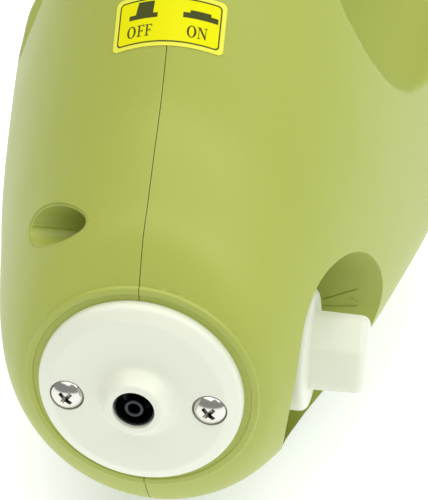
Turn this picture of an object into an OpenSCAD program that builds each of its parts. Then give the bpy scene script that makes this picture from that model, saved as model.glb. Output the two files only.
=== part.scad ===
// Hand-held cordless mini cultivator: a two-part clamshell with a closed
// D-handle, a battery pack and motor in the barrel, a two-stage gearbox in
// the nose and four tine wheels on a cross shaft. Millimetres, +Z up, +Y
// forward (towards the tines). The origin is under the middle of the machine,
// on the surface that it rests on. Inside the modules, lengths along Y are
// counted forward from the tail collar and heights from the barrel's axis.

/* [Body] */
// Height of the barrel axis above the surface it rests on
axis_h = 45; // [44:0.5:50]
// Radius of the tail collar
collar_r = 20.4; // [20:0.1:21]
// Half width of the barrel at its widest
barrel_w = 45.5; // [44:0.5:47]
// Depth of the belly below the axis
belly_d = 33; // [32.5:0.5:35]
// Top of the grip above the axis
grip_top = 100; // [97:0.5:102]
// Wall thickness of the shells
wall = 2.6; // [2.2:0.1:2.8]
// Length of the shells along the axis
shell_len = 168; // [166:0.5:170]

/* [Handle opening] */
// Centre of the rear round of the finger opening, forward of the collar
hand_y = 76; // [75:0.5:78]
// Height of the opening's centre above the axis
hand_z = 57; // [56:0.5:58]
// Length between the opening's two rounds
hand_len = 27; // [24:0.5:28]
// Radius of the opening at the middle of the handle
hand_r = 20; // [19:0.5:20.5]
// Radius of the dished rim round the opening
dish_r = 31.5; // [31:0.5:32]

/* [Tail plate] */
// Radius of the round tail plate
plate_r = 18; // [17.5:0.1:18.2]
// Step of the plate's face behind the collar
plate_out = 3.5; // [3:0.1:4]
// Reach of the socket boss behind the collar
boss_out = 7; // [6.5:0.1:7.5]
// Radius of the hole for the charge socket
socket_r = 3.65; // [3.6:0.05:3.7]
// Distance of each plate screw from the centre
plate_screw_x = 12.5; // [12:0.1:13]

/* [Side knob] */
// Place of the knob's axis forward of the collar
knob_y = 23.5; // [23:0.5:24]
// Height of the knob's axis
knob_z = -4.7; // [-5.2:0.1:-4.2]
// Radius of the round pocket
pocket_r = 18.3; // [18:0.1:18.6]
// Distance of the pocket floor from the middle plane
pocket_x = 21.5; // [21.2:0.1:22]
// Radius of the knob's flange
flange_r = 11.2; // [11:0.1:11.6]
// Thickness of the knob's flange
flange_t = 4.1; // [3.9:0.1:4.4]
// Half the length of the finger bar
bar_half = 7; // [6.5:0.1:7.4]
// Distance of the bar's end from the pocket floor
bar_end = 14.5; // [14:0.1:15]
// Lean of the finger bar from upright
bar_lean = 34; // [20:1:45]

/* [Push button] */
// Radius of the button cap
button_r = 7.5; // [7:0.1:8]
// Travel of the latching button
button_travel = 3; // [2:0.5:3.5]

/* [Battery and motor] */
// Radius of one round cell
cell_r = 9.2; // [9:0.1:9.3]
// Length of one cell
cell_len = 65; // [64:0.5:65.5]
// Radius of the motor case
motor_r = 18; // [17.5:0.1:18]

/* [Gears] */
// Module of the planetary stage
planet_mod = 0.7; // [0.7:0.01:0.7]
// Teeth on the sun gear
sun_teeth = 12; // [12:1:12]
// Teeth on each planet gear
planet_teeth = 18; // [18:1:18]
// Teeth on the crown gear, four times those on its pinion
crown_teeth = 40; // [40:1:40]
// Pitch radius of the crown gear
crown_pitch_r = 20; // [20:1:20]

/* [Tines] */
// Radius to the tips of the tine wheels
tine_r = 42; // [41.5:0.5:42]
// Radius of the cross shaft
shaft_r = 5; // [4.8:0.1:5]
// Half length of the cross shaft
shaft_half = 50; // [49:0.5:52]
// Thickness of a tine blade
blade_t = 3; // [2.5:0.1:3.2]

/* [Hidden] */
$fn = 64;
SHELL_FN = 40;
drive_z = tine_r - axis_h;        // height of the motor and tine shaft axes
tine_y = 212;                     // cross shaft, forward of the collar
guard_in = tine_r + 5;            // inner radius of the guard
guard_t = 2.5;
guard_low = 18;                   // angle of the guard's front edge above level
guard_high = 140;                 // angle of its rear edge
guard_half = 48;                  // half its width
front_y = tine_y + (guard_in + guard_t) * cos(guard_low);
mid_y = (front_y - boss_out) / 2; // middle of the whole length
play = 0.04;                      // radial running clearance
air = 0.4;                        // gap between parts that must not touch

screw_shank = 1.5;
screw_hole = 1.6;
head_r = 3;
recess_r = 4.4;
recess_floor = 7;                 // recess floor, left of the middle plane
// Clamshell screws: forward of the collar, height
SHELL_SCREWS = [[11.2, 24], [62, -25.5], [146, 27], [146, -24], [41, 61], [124, 76]];

cell_pitch = 2 * cell_r + 0.8;
cell_y = 44;
pack_z = 0;
// Cell axes: sideways, height
CELLS = [[-cell_pitch / 2, pack_z - cell_pitch * 0.289],
         [cell_pitch / 2, pack_z - cell_pitch * 0.289],
         [0, pack_z + cell_pitch * 0.577]];

motor_y = 114;
motor_len = 46;
motor_shaft_r = 1.6;
sun_r = planet_mod * sun_teeth / 2;
planet_r = planet_mod * planet_teeth / 2;
ring_teeth = sun_teeth + 2 * planet_teeth;
orbit_r = sun_r + planet_r;
gear_y = 166.5;                   // rear face of the planetary gears
gear_w = 8;
pinion_teeth = crown_teeth / 4;
crown_mod = 2 * crown_pitch_r / crown_teeth;
pinion_pitch_r = crown_mod * pinion_teeth / 2;
neck_r = 23.4;                    // gear case neck inside the shells' nose

slope_y = 42;                     // push button's seat on the rear slope
slope_tilt = 52;                  // lean of the button's axis from upright

label_size = [19, 8.5];           // switch label, across and up the rear slope
label_middle = [0, 27.8, 56.8];
label_lean = 33;                  // lean of the slope from upright there

// ---------- places and shared shapes ----------

// Puts children given from the tail collar and barrel axis into the frame
module from_tail() {
    translate([0, -mid_y, axis_h]) children();
}

// Turns children that rise along Z to run forward along Y, at height z
module along_y(y, z = 0, x = 0) {
    translate([x, y, z]) rotate([-90, 0, 0]) children();
}

// Turns children that rise along Z to run right along X
module along_x(x, y, z) {
    translate([x, y, z]) rotate([0, 90, 0]) children();
}

module ring(r_out, r_in, h) {
    difference() {
        cylinder(r = r_out, h = h);
        translate([0, 0, -1]) cylinder(r = r_in, h = h + 2);
    }
}

// Straight-line reading of a list of [y, value] pairs
function read_at(list, y, i = 0) =
    y <= list[0][0] ? list[0][1] :
    i >= len(list) - 1 ? list[len(list) - 1][1] :
    y <= list[i + 1][0] ?
        list[i][1] + (list[i + 1][1] - list[i][1])
        * (y - list[i][0]) / (list[i + 1][0] - list[i][0]) :
    read_at(list, y, i + 1);

// Barrel outline: half width, top and bottom at stations along the axis
STATIONS = [0, 1.2, 4, 8, 14, 20, 26, 34, 44, 58, 75, 95, 115, 132, 148, 160, shell_len];
nose_r = neck_r + wall + 0.6;
TOP = [[0, collar_r], [1.2, 23.2], [4, 28.1], [8, 32.4], [14, 39.1], [20, 45.6],
       [26, 54.3], [34, 66], [44, 79], [58, 91], [75, grip_top - 1.5],
       [95, grip_top], [115, grip_top - 7], [132, 78], [148, 54], [160, 34],
       [shell_len, nose_r + drive_z]];
WIDE = [[0, collar_r], [1.2, 22.4], [4, 24.6], [8, 26.8], [14, 29], [20, 30.8],
        [26, 32.4], [34, 34.4], [44, 37], [58, 39.9], [75, 43], [95, barrel_w],
        [115, barrel_w - 2], [132, 40], [148, 34], [160, 29], [shell_len, nose_r]];
LOW = [[0, collar_r], [1.2, 23], [4, 27], [8, 29.8], [14, 31.6], [20, 32.5],
       [26, belly_d], [115, belly_d], [132, 32.5], [148, 31.5],
       [160, 30.5], [shell_len, nose_r - drive_z]];

// The crown of a section is fuller than a straight flank, less than round
function crown_power(y) = 2 - 0.37 * (1 - exp(-y / 5)) * (1 - max(0, y - 150) / 18);

function section(y, inset) =
    let (w = read_at(WIDE, y) - inset, t = read_at(TOP, y) - inset * 1.25,
         b = read_at(LOW, y) - inset, p = 2 / crown_power(y))
    [for (i = [0:SHELL_FN - 1]) let (a = 360 * i / SHELL_FN, c = cos(a), s = sin(a))
        s >= 0 ? [w * sign(c) * pow(abs(c), p), t * pow(abs(s), p)]
               : [w * c, b * s]];

// One thin slice of the body across its axis
module slice(y, inset) {
    translate([0, y, 0]) rotate([90, 0, 0])
        linear_extrude(height = 0.02, center = true) polygon(section(y, inset));
}

// The whole body's volume, drawn in by inset, between two stations
module body_form(inset, first = 0, last = len(STATIONS) - 1) {
    for (i = [first:last - 1])
        hull() {
            slice(STATIONS[i], inset);
            slice(STATIONS[i + 1], inset);
        }
}

// Flared finger opening through the handle, grown by extra
module hand_form(extra) {
    for (side = [-1, 1])
        hull()
            for (y = [hand_y, hand_y + hand_len])
                translate([0, y, hand_z]) rotate([0, 90 * side, 0]) {
                    cylinder(r = hand_r + extra, h = 6, $fn = 48);
                    translate([0, 0, 36]) cylinder(r = dish_r + extra, h = 24, $fn = 48);
                }
}

module half_space(side) {
    translate([side * 100, 200, 0]) cube([200, 400, 300], center = true);
}

// ---------- clamshell ----------

// Solid stock of one half before its pockets are cut: skin, ribs, posts
module shell_stock(side) {
    intersection() {
        half_space(side);
        on_slope() translate([0, 0, -6]) cylinder(r = button_r + 3.6, h = 7.2);
    }
    intersection() {
        half_space(side);
        difference() {
            body_form(0);
            hand_form(0);
        }
        union() {
            difference() {
                translate([-100, -1, -100]) cube([200, 300, 300]);
                difference() {
                    body_form(wall);
                    hand_form(wall);
                }
            }
            // tail bulkhead behind the plate
            translate([-40, 0, -40]) cube([80, 3, 80]);
            // saddles that hold the motor
            for (y = [122, 152]) translate([-60, y, -60]) cube([120, 2.4, 100]);
            for (p = SHELL_SCREWS) {
                along_x(side > 0 ? 0 : -20, p[0], p[1]) cylinder(r = 3.6, h = side > 0 ? 60 : 20);
                if (side < 0)
                    along_x(-60, p[0], p[1]) cylinder(r = recess_r + 2, h = 61.8 - recess_floor);
            }
            for (s = [-1, 1])
                along_y(0, -0.8, s * plate_screw_x) cylinder(r = 3.4, h = 13.5);
        }
    }
}

module shell_cuts() {
    // round opening at the tail and the screws that hold the plate
    along_y(-1) cylinder(r = 8.2, h = 5);
    for (s = [-1, 1])
        along_y(-1, -0.8, s * plate_screw_x) cylinder(r = screw_hole, h = 13, $fn = 24);
    // motor bed, gear case neck and button shaft
    along_y(108, drive_z) cylinder(r = motor_r + 0.1, h = 54);
    along_y(158, drive_z) cylinder(r = neck_r + 0.1, h = 30);
    on_slope() translate([0, 0, -9]) cylinder(r = button_r + 0.6, h = 30);
}

module left_shell() {
    color("yellowgreen") from_tail() difference() {
        shell_stock(-1);
        shell_cuts();
        for (p = SHELL_SCREWS) {
            along_x(-70, p[0], p[1]) cylinder(r = recess_r, h = 70 - recess_floor, $fn = 32);
            along_x(-20, p[0], p[1]) cylinder(r = screw_hole + 0.1, h = 25, $fn = 24);
        }
    }
}

module right_shell() {
    color("yellowgreen") from_tail() difference() {
        union() {
            shell_stock(1);
            intersection() {
                body_form(0, 2, 10);
                along_x(pocket_x - 2.2, knob_y, knob_z) cylinder(r = pocket_r + 2.2, h = 30);
            }
        }
        shell_cuts();
        along_x(pocket_x, knob_y, knob_z) cylinder(r = pocket_r, h = 30);
        along_x(10, knob_y, knob_z) cylinder(r = 3.9, h = 30);
        for (p = SHELL_SCREWS)
            along_x(-1, p[0], p[1]) cylinder(r = screw_hole, h = 12, $fn = 24);
    }
}

// Pan-head self-tapping screw with a crossed drive, head at the origin, up
module pan_screw(length, r = screw_shank, hr = head_r) {
    difference() {
        union() {
            intersection() {
                translate([0, 0, -1.9]) sphere(r = 3.9 * hr / 3);
                cylinder(r = hr, h = 3);
            }
            translate([0, 0, -length]) cylinder(r = r, h = length + 0.5);
        }
        for (a = [0, 90])
            rotate(a + 45) translate([-hr * 0.62, -0.35, 0.9])
                cube([hr * 1.24, 0.7, 3]);
    }
}

module shell_screws() {
    color("silver") from_tail()
        for (p = SHELL_SCREWS)
            translate([-recess_floor, p[0], p[1]]) rotate([0, -90, 0]) pan_screw(recess_floor + 10);
}

// ---------- tail plate and charge socket ----------

module tail_plate() {
    color("ivory") from_tail() difference() {
        rotate([90, 0, 0]) rotate_extrude($fn = 96)
            polygon([[socket_r, -3], [7.8, -3], [7.8, 0], [plate_r, 0], [plate_r, 1.6],
                [17.85, 2.1], [17.3, 2.8], [16.4, 3.3], [15.6, plate_out],
                [7.4, plate_out], [6.7, 3.9], [5.9, 5.4], [5.3, 6.4],
                [4.8, boss_out], [socket_r, boss_out]]);
        for (s = [-1, 1]) along_y(-5, -0.8, s * plate_screw_x) {
            cylinder(r = screw_hole + 0.1, h = 12, $fn = 24);
            cylinder(r = head_r + 0.15, h = 2.8);
        }
    }
}

module tail_plate_screws() {
    color("silver") from_tail()
        for (s = [-1, 1])
            translate([s * plate_screw_x, -2.2, -0.8]) rotate([90, 0, 0]) pan_screw(12);
}

module charge_socket() {
    color("black") from_tail() difference() {
        union() {
            along_y(-boss_out + 0.25) cylinder(r = socket_r - 0.05, h = boss_out + 3.2);
            translate([-6, 3.2, -6]) cube([12, 11, 12]);
        }
        along_y(-boss_out) cylinder(r = 3.1, h = boss_out + 4);
        along_y(0) cylinder(r = 1.7, h = 5.6);
    }
}

module socket_pin() {
    color("dimgray") from_tail() difference() {
        along_y(-boss_out + 0.6) cylinder(r = 1.7, h = boss_out + 5);
        along_y(-boss_out) cylinder(r = 1.05, h = 5, $fn = 24);
    }
}

module socket_terminals() {
    color("gold") from_tail()
        for (x = [-3, 0, 3]) translate([x - 0.9, 14.2, -4]) cube([1.8, 6, 0.5]);
}

module label() {
    color("gold") from_tail() intersection() {
        difference() {
            body_form(-0.13, 5, 9);
            body_form(-0.01, 5, 9);
        }
        translate(label_middle) rotate([-label_lean, 0, 0])
            cube([label_size[0], 16, label_size[1]], center = true);
    }
}

// ---------- push button and latching switch ----------

// Seat of the button: local Z points out of the rear slope
module on_slope() {
    translate([0, slope_y, read_at(TOP, slope_y)]) rotate([slope_tilt, 0, 0]) children();
}

module push_button() {
    top = button_travel + 2.2;    // clear of the bezel when pressed
    bevel = 0.8;
    color("ivory") from_tail() on_slope() difference() {
        union() {
            translate([0, 0, -3]) cylinder(r = button_r, h = top - bevel + 3);
            translate([0, 0, top - bevel])
                cylinder(r1 = button_r, r2 = button_r - bevel, h = bevel);
        }
        translate([0, 0, -4]) cylinder(r = 3.2, h = 3.5);
    }
}

module button_bezel() {
    color("ivory") from_tail() on_slope() {
        translate([0, 0, -2.2]) ring(button_r + 0.55, button_r + 0.06, 4.6);
        translate([0, 0, 1.2]) ring(button_r + 3, button_r + 0.5, 1.2);
    }
}

module switch_plunger() {
    color("white") from_tail() on_slope() translate([0, 0, -9.5]) cylinder(r = 2.6, h = 9);
}

module latch_switch() {
    color("black") from_tail() on_slope() difference() {
        translate([-5.5, -5.5, -14]) cube([11, 11, 7]);
        translate([0, 0, -13.2]) cylinder(r = 2.6 + play, h = 10);
    }
}

// ---------- side selector ----------

module selector_knob() {
    color("ivory") from_tail() difference() {
        union() {
            along_x(pocket_x + 0.6, knob_y, knob_z) {
                cylinder(r = flange_r, h = flange_t - 1.2);
                translate([0, 0, flange_t - 1.2])
                    cylinder(r1 = flange_r, r2 = flange_r - 1.2, h = 1.2);
            }
            translate([pocket_x + 4, knob_y, knob_z]) rotate([-bar_lean, 0, 0])
                rotate([0, 90, 0]) linear_extrude(height = bar_end - 4) finger_bar();
        }
        along_x(pocket_x, knob_y, knob_z) cylinder(r = 6.6, h = 3.4);
        along_x(pocket_x, knob_y, knob_z) cylinder(r = 3, h = 9.2);
    }
}

// Kite-shaped plan of the finger bar, widest at the knob's axis
module finger_bar() {
    polygon([[-bar_half, -1.5], [1 - bar_half, -2.5], [0, -4], [bar_half - 1, -2.5], [bar_half, -1.5],
             [bar_half, 1.5], [bar_half - 1, 2.5], [0, 4], [1 - bar_half, 2.5], [-bar_half, 1.5]]);
}

module selector_shaft() {
    color("silver") from_tail()
        along_x(10, knob_y, knob_z) cylinder(r = 3, h = pocket_x + 9 - 10);
}

module selector_switch() {
    color("black") from_tail() difference() {
        union() {
            translate([8, knob_y - 9, knob_z - 9]) cube([pocket_x - 2.2 - 8, 18, 18]);
            along_x(pocket_x - 3, knob_y, knob_z) cylinder(r = 3.7, h = 5.6);
        }
        along_x(9.5, knob_y, knob_z) cylinder(r = 3 + play, h = 30);
    }
}

module selector_nut() {
    color("silver") from_tail() along_x(pocket_x, knob_y, knob_z) difference() {
        cylinder(r = 6, h = 2, $fn = 6);
        translate([0, 0, -1]) cylinder(r = 3.72, h = 4);
    }
}

// ---------- battery ----------

module cell(i) {
    from_tail() along_y(cell_y, CELLS[i][1], CELLS[i][0]) {
        cylinder(r = cell_r, h = cell_len - 1.6);
        translate([0, 0, cell_len - 1.6]) cylinder(r = 4, h = 1.5);
    }
}

module cell_left() { color("steelblue") cell(0); }
module cell_right() { color("steelblue") cell(1); }
module cell_top() { color("steelblue") cell(2); }

// Plastic spacer that holds the three cells apart
module cell_holder(y) {
    from_tail() difference() {
        hull() for (c = CELLS) along_y(y, c[1], c[0]) cylinder(r = cell_r + 1.2, h = 7, $fn = 40);
        for (c = CELLS) along_y(y - 1, c[1], c[0]) cylinder(r = cell_r + 0.02, h = 9);
    }
}

module cell_holder_rear() { color("dimgray") cell_holder(cell_y + 3); }
module cell_holder_front() { color("dimgray") cell_holder(cell_y + cell_len - 13); }

module cell_links() {
    color("silver") from_tail() {
        translate([-cell_pitch / 2 - 4, cell_y - 0.3, CELLS[0][1] - 3.5]) cube([cell_pitch + 8, 0.3, 7]);
        translate([-3.5, cell_y + cell_len - 0.1, CELLS[2][1] - 4]) cube([7, 0.3, 8]);
        translate([-cell_pitch / 2 - 4, cell_y + cell_len - 0.1, CELLS[0][1] - 3.5])
            cube([8, 0.3, 7]);
    }
}

// ---------- control board ----------

board_z = CELLS[2][1] + cell_r + 2.2;
module control_board() {
    color("darkgreen") from_tail() difference() {
        translate([-14, cell_y + 4, board_z]) cube([28, 52, 1.6]);
        for (x = [-11.5, 11.5], y = [6.5, 53.5])
            translate([x, cell_y + y, board_z - 1]) cylinder(r = 1.5, h = 4, $fn = 24);
    }
}

module board_parts() {
    color("gray") from_tail() translate([0, cell_y, board_z + 1.6]) {
        translate([-9, 14, 0]) cylinder(r = 4, h = 6);
        translate([2, 12, 0]) cube([8, 8, 1.6]);
        translate([-4, 28, 0]) cube([6, 8, 2]);
        translate([5, 28, 0]) cube([6, 8, 2]);
        for (x = [-10:4:6]) translate([x, 42, 0]) cube([2, 3.2, 1]);
    }
}

// ---------- motor ----------

module motor_case() {
    color("silver") from_tail() along_y(motor_y, drive_z) difference() {
        union() {
            cylinder(r = motor_r, h = motor_len);
            translate([0, 0, motor_len]) cylinder(r = 6.4, h = 3);
        }
        translate([0, 0, -1]) cylinder(r = motor_r - 1, h = motor_len - 1);
        cylinder(r = motor_shaft_r + play, h = motor_len + 10, $fn = 32);
    }
}

module motor_end_cap() {
    color("dimgray") from_tail() along_y(motor_y - 3, drive_z) difference() {
        union() {
            cylinder(r = motor_r, h = 3);
            cylinder(r = motor_r - 1, h = 6);
        }
        translate([0, 0, -1]) cylinder(r = motor_shaft_r + play, h = 9, $fn = 32);
        for (s = [-1, 1]) translate([s * 12 - 2.5, -1, 3]) cube([5, 2, 4]);
    }
}

module motor_magnets() {
    color("dimgray") from_tail() along_y(motor_y + 9, drive_z) difference() {
        ring(motor_r - 1, motor_r - 3.2, 30);
        for (a = [0, 90]) rotate(45 + a) translate([-30, -3, -1]) cube([60, 6, 40]);
    }
}

module motor_rotor() {
    color("darkorange") from_tail() along_y(motor_y + 9, drive_z) difference() {
        union() {
            translate([0, 0, 2]) cylinder(r = motor_r - 4, h = 26);
            translate([0, 0, -2]) cylinder(r = 5, h = 34);
        }
        translate([0, 0, -3]) cylinder(r = motor_shaft_r, h = 40, $fn = 32);
        for (a = [0:72:359]) rotate(a)
            translate([motor_r - 9, -1.2, 1]) cube([10, 2.4, 28]);
    }
}

module motor_shaft() {
    color("silver") from_tail() along_y(motor_y - 4.5, drive_z)
        cylinder(r = motor_shaft_r, h = gear_y + gear_w - motor_y + 4.5, $fn = 32);
}

// ---------- gears ----------

function polar(r, a) = [r * cos(a), r * sin(a)];
// Angle swept by an involute from its base circle out to radius r, in degrees
function inv_angle(r, base) = let (t = acos(min(1, base / r))) tan(t) * 180 / PI - t;

// Spur gear outline with one tooth on +X; slack thins each flank
module gear_outline(teeth, m, slack, tip = 1, root = 1.2) {
    pr = m * teeth / 2;
    base = pr * cos(20);
    ra = pr + m * tip;
    rf = pr - m * root;
    half = 90 / teeth - slack / pr * 90 / PI + inv_angle(pr, base);
    low = max(rf, base);
    polygon([for (i = [0:teeth - 1]) let (c = 360 * i / teeth)
        each concat(
            [polar(rf, c - half - 0.4)],
            [for (k = [0:3]) let (r = low + (ra - low) * k / 3)
                polar(r, c - half + inv_angle(r, base))],
            [for (k = [3:-1:0]) let (r = low + (ra - low) * k / 3)
                polar(r, c + half - inv_angle(r, base))],
            [polar(rf, c + half + 0.4)])]);
}

module sun_gear() {
    color("silver") from_tail() along_y(gear_y, drive_z) difference() {
        linear_extrude(height = gear_w) gear_outline(sun_teeth, planet_mod, 0.1);
        translate([0, 0, -1]) cylinder(r = motor_shaft_r, h = gear_w + 2, $fn = 32);
    }
}

// Orbit angle of a planet, and the turn that brings its teeth into mesh
function orbit_angle(k) = 120 * k;
function mesh_turn(k) =
    orbit_angle(k) * (1 + sun_teeth / planet_teeth) + 180 - 180 / planet_teeth;

module planet_gear(k) {
    from_tail() along_y(gear_y, drive_z)
        rotate(orbit_angle(k)) translate([orbit_r, 0, 0]) rotate(mesh_turn(k) - orbit_angle(k))
            difference() {
                linear_extrude(height = gear_w) gear_outline(planet_teeth, planet_mod, 0.1);
                translate([0, 0, -1]) cylinder(r = 2 + play, h = gear_w + 2, $fn = 32);
            }
}

module planet_gear_1() { color("khaki") planet_gear(0); }
module planet_gear_2() { color("khaki") planet_gear(1); }
module planet_gear_3() { color("khaki") planet_gear(2); }

module ring_gear() {
    color("dimgray") from_tail() along_y(gear_y - 0.5, drive_z) difference() {
        cylinder(r = 20.4, h = gear_w + 1);
        translate([0, 0, -1]) rotate(180 / ring_teeth) linear_extrude(height = gear_w + 4)
            gear_outline(ring_teeth, planet_mod, -0.1, 1.2, 0.95);
    }
}

carrier_y = gear_y + gear_w + 0.6;
bush_y = carrier_y + 3.4;
pinion_y = tine_y - crown_pitch_r - 2.4;
module planet_carrier() {
    color("silver") from_tail() along_y(carrier_y, drive_z) {
        cylinder(r = 14, h = 3);
        cylinder(r = 4, h = pinion_y - carrier_y);
        cylinder(r = 3, h = pinion_y - carrier_y + 4.8);
        for (k = [0:2]) rotate(orbit_angle(k)) translate([orbit_r, 0, -gear_w - 0.4])
            cylinder(r = 2, h = gear_w + 1, $fn = 32);
    }
}

module carrier_bush() {
    color("goldenrod") from_tail() along_y(bush_y, drive_z) ring(8, 4 + play, 7.4);
}

module drive_pinion() {
    color("silver") from_tail() along_y(pinion_y, drive_z) difference() {
        linear_extrude(height = 4.6) gear_outline(pinion_teeth, crown_mod, 0.1);
        translate([0, 0, -1]) cylinder(r = 3, h = 7);
    }
}

// Face-toothed gear: straight slender teeth stand out of the disc towards -X
module crown_gear() {
    tooth = crown_mod;
    color("silver") from_tail() along_x(0, tine_y, drive_z) difference() {
        union() {
            translate([0, 0, pinion_pitch_r + 1.3]) cylinder(r = 22, h = 3.5);
            translate([0, 0, pinion_pitch_r + 1.3]) cylinder(r = 8.4, h = 6);
            for (i = [0:crown_teeth - 1]) rotate(360 * (i + 0.5) / crown_teeth)
                translate([18.6, 0, 0]) rotate([90, 0, 90]) linear_extrude(height = 3)
                    polygon([[-0.95, pinion_pitch_r + 1.4], [-0.55, pinion_pitch_r],
                        [-0.2, pinion_pitch_r - 0.9 * tooth], [0.2, pinion_pitch_r - 0.9 * tooth],
                        [0.55, pinion_pitch_r], [0.95, pinion_pitch_r + 1.4]]);
        }
        cylinder(r = shaft_r, h = 20);
    }
}

// ---------- gear case ----------

bearing_x = 15;
LUG_ANGLES = [58, 122];
// Gear case screws in ears round the crown gear: forward of the collar, height
CASE_SCREWS = [for (a = [90, -10, -100]) [tine_y + 27 * cos(a), drive_z + 27 * sin(a)]];
module gear_case_form() {
    along_y(163.4, drive_z) cylinder(r = neck_r, h = 21.6);
    along_y(180, drive_z) cylinder(r = 17, h = 20);
    along_x(-14.5, tine_y, drive_z) cylinder(r = 26, h = 29);
    along_x(-bearing_x - 7.4, tine_y, drive_z) cylinder(r = 12.5, h = 2 * (bearing_x + 7.4));
    for (a = LUG_ANGLES) translate([0, tine_y, drive_z]) rotate([a, 0, 0]) guard_lug();
    for (p = CASE_SCREWS) along_x(-14.5, p[0], p[1]) cylinder(r = 4.4, h = 29);
}

// Lug that carries the guard, its face turned outwards
module guard_lug() {
    translate([-10, 20, -6]) cube([20, guard_in - 20.4, 12]);
}

module gear_case_half(side) {
    from_tail() difference() {
        intersection() {
            half_space(side);
            gear_case_form();
        }
        along_y(160, drive_z) cylinder(r = 6.8, h = 10);
        along_y(165.4, drive_z) cylinder(r = 20.45, h = 12.2);
        along_y(165.4, drive_z) cylinder(r = 15, h = bush_y - 165.4);
        along_y(bush_y, drive_z) cylinder(r = 8.02, h = 40);
        along_x(-11.5, tine_y, drive_z) cylinder(r = 23, h = 25);
        along_x(-bearing_x - 8, tine_y, drive_z) cylinder(r = 9.02, h = 2 * bearing_x + 16);
        for (p = CASE_SCREWS) along_x(-30, p[0], p[1]) cylinder(r = screw_hole, h = 42, $fn = 24);
        for (a = LUG_ANGLES) translate([0, tine_y, drive_z]) rotate([a, 0, 0])
            translate([0, guard_in - 12, 0]) for (s = [-1, 1]) translate([s * 5, 0, 0])
                rotate([-90, 0, 0]) cylinder(r = screw_hole, h = 14, $fn = 24);
    }
}

module gear_case_left() { color("dimgray") gear_case_half(-1); }
module gear_case_right() { color("dimgray") gear_case_half(1); }

module gear_case_screws() {
    color("silver") from_tail() for (p = CASE_SCREWS)
        translate([-14.5, p[0], p[1]]) rotate([0, -90, 0]) pan_screw(22, screw_shank, 2.6);
}

module shaft_bush(side) {
    from_tail() along_x(side > 0 ? bearing_x : -bearing_x - 5, tine_y, drive_z)
        ring(9, shaft_r + play, 5);
}
module shaft_bush_left() { color("goldenrod") shaft_bush(-1); }
module shaft_bush_right() { color("goldenrod") shaft_bush(1); }

module shaft_seal(side) {
    from_tail() along_x(side > 0 ? bearing_x + 5.1 : -bearing_x - 7.2, tine_y, drive_z)
        ring(9, shaft_r + 0.05, 2.1);
}
module shaft_seal_left() { color("black") shaft_seal(-1); }
module shaft_seal_right() { color("black") shaft_seal(1); }

// ---------- tines ----------

hub_x = [-44, -29, 23, 38];       // left face of each wheel's hub
hub_w = 6;
clip_x = 45.4;
module tine_shaft() {
    color("silver") from_tail() along_x(0, tine_y, drive_z) difference() {
        union() {
            translate([0, 0, -22.6]) cylinder(r = shaft_r, h = 45.2);
            translate([0, 0, -46.5]) cylinder(r = shaft_r, h = 93, $fn = 6);
            translate([0, 0, -shaft_half]) cylinder(r = 3.5, h = 2 * shaft_half);
        }
        for (s = [-1, 1]) translate([-12, 0, s * clip_x]) rotate([0, 90, 0])
            cylinder(r = 0.9, h = 24, $fn = 24);
    }
}

// Curved digging tooth: centre line bends back as it runs out, width tapers
function tooth_angle(t) = -34 * t * t;
function tooth_point(t, side) = let (r = 8 + (tine_r - 8) * t, a = tooth_angle(t),
    w = side * (5.2 - 4.4 * pow(t, 3)) * (t > 0.99 ? 0 : 1))
    [r * cos(a) - w * sin(a - 12 * t), r * sin(a) + w * cos(a - 12 * t)];

module tine_star(turn) {
    for (k = [0:3]) rotate(90 * k + turn)
        polygon(concat([for (i = [0:10]) tooth_point(i / 10, 1)],
                       [for (i = [9:-1:0]) tooth_point(i / 10, -1)]));
    circle(r = 10.5);
}

module tine_wheel(k) {
    turn = [0, 45, 45, 0][k] + 34;
    from_tail() along_x(hub_x[k], tine_y, drive_z) difference() {
        union() {
            cylinder(r = 8.5, h = hub_w);
            translate([0, 0, (hub_w - blade_t) / 2]) linear_extrude(height = blade_t) tine_star(turn);
        }
        translate([0, 0, -1]) cylinder(r = shaft_r + 0.02, h = hub_w + 2, $fn = 6);
    }
}
module tine_wheel_1() { color("dimgray") tine_wheel(0); }
module tine_wheel_2() { color("dimgray") tine_wheel(1); }
module tine_wheel_3() { color("dimgray") tine_wheel(2); }
module tine_wheel_4() { color("dimgray") tine_wheel(3); }

module wheel_spacers() {
    color("ivory") from_tail() for (s = [-1, 1])
        along_x(s > 0 ? hub_x[2] + hub_w : hub_x[0] + hub_w, tine_y, drive_z)
            ring(7.5, shaft_r + 0.05, hub_x[3] - hub_x[2] - hub_w);
}

module shaft_clips() {
    color("silver") from_tail() for (s = [-1, 1]) translate([s * clip_x, tine_y, drive_z]) {
        translate([0, 0, -8]) cylinder(r = 0.85, h = 18, $fn = 24);
        translate([0, 0, 11.8]) rotate([90, 0, 0])
            rotate_extrude() translate([1.8, 0]) circle(r = 0.8, $fn = 16);
    }
}

// ---------- guard and foot ----------

// Fan of angles a to b, measured up from forward, on the X faces
module fan(a, b, r) {
    polygon(concat([[0, 0]], [for (i = [0:8]) polar(r, 90 + a + (b - a) * i / 8)]));
}

module tine_guard() {
    width = 2 * guard_half;
    flange = 6;                   // depth of the turned-in side edges
    color("olivedrab") from_tail() difference() {
        along_x(-guard_half, tine_y, drive_z) intersection() {
            difference() {
                cylinder(r = guard_in + guard_t, h = width, $fn = 96);
                translate([0, 0, guard_t]) cylinder(r = guard_in, h = width - 2 * guard_t, $fn = 96);
                translate([0, 0, -1]) cylinder(r = guard_in - flange, h = width + 2, $fn = 96);
            }
            linear_extrude(height = width) fan(guard_low, guard_high, 2 * guard_in);
        }
        guard_screw_places() translate([0, 0, -6]) cylinder(r = screw_hole + 0.2, h = 12, $fn = 24);
    }
}

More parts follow.
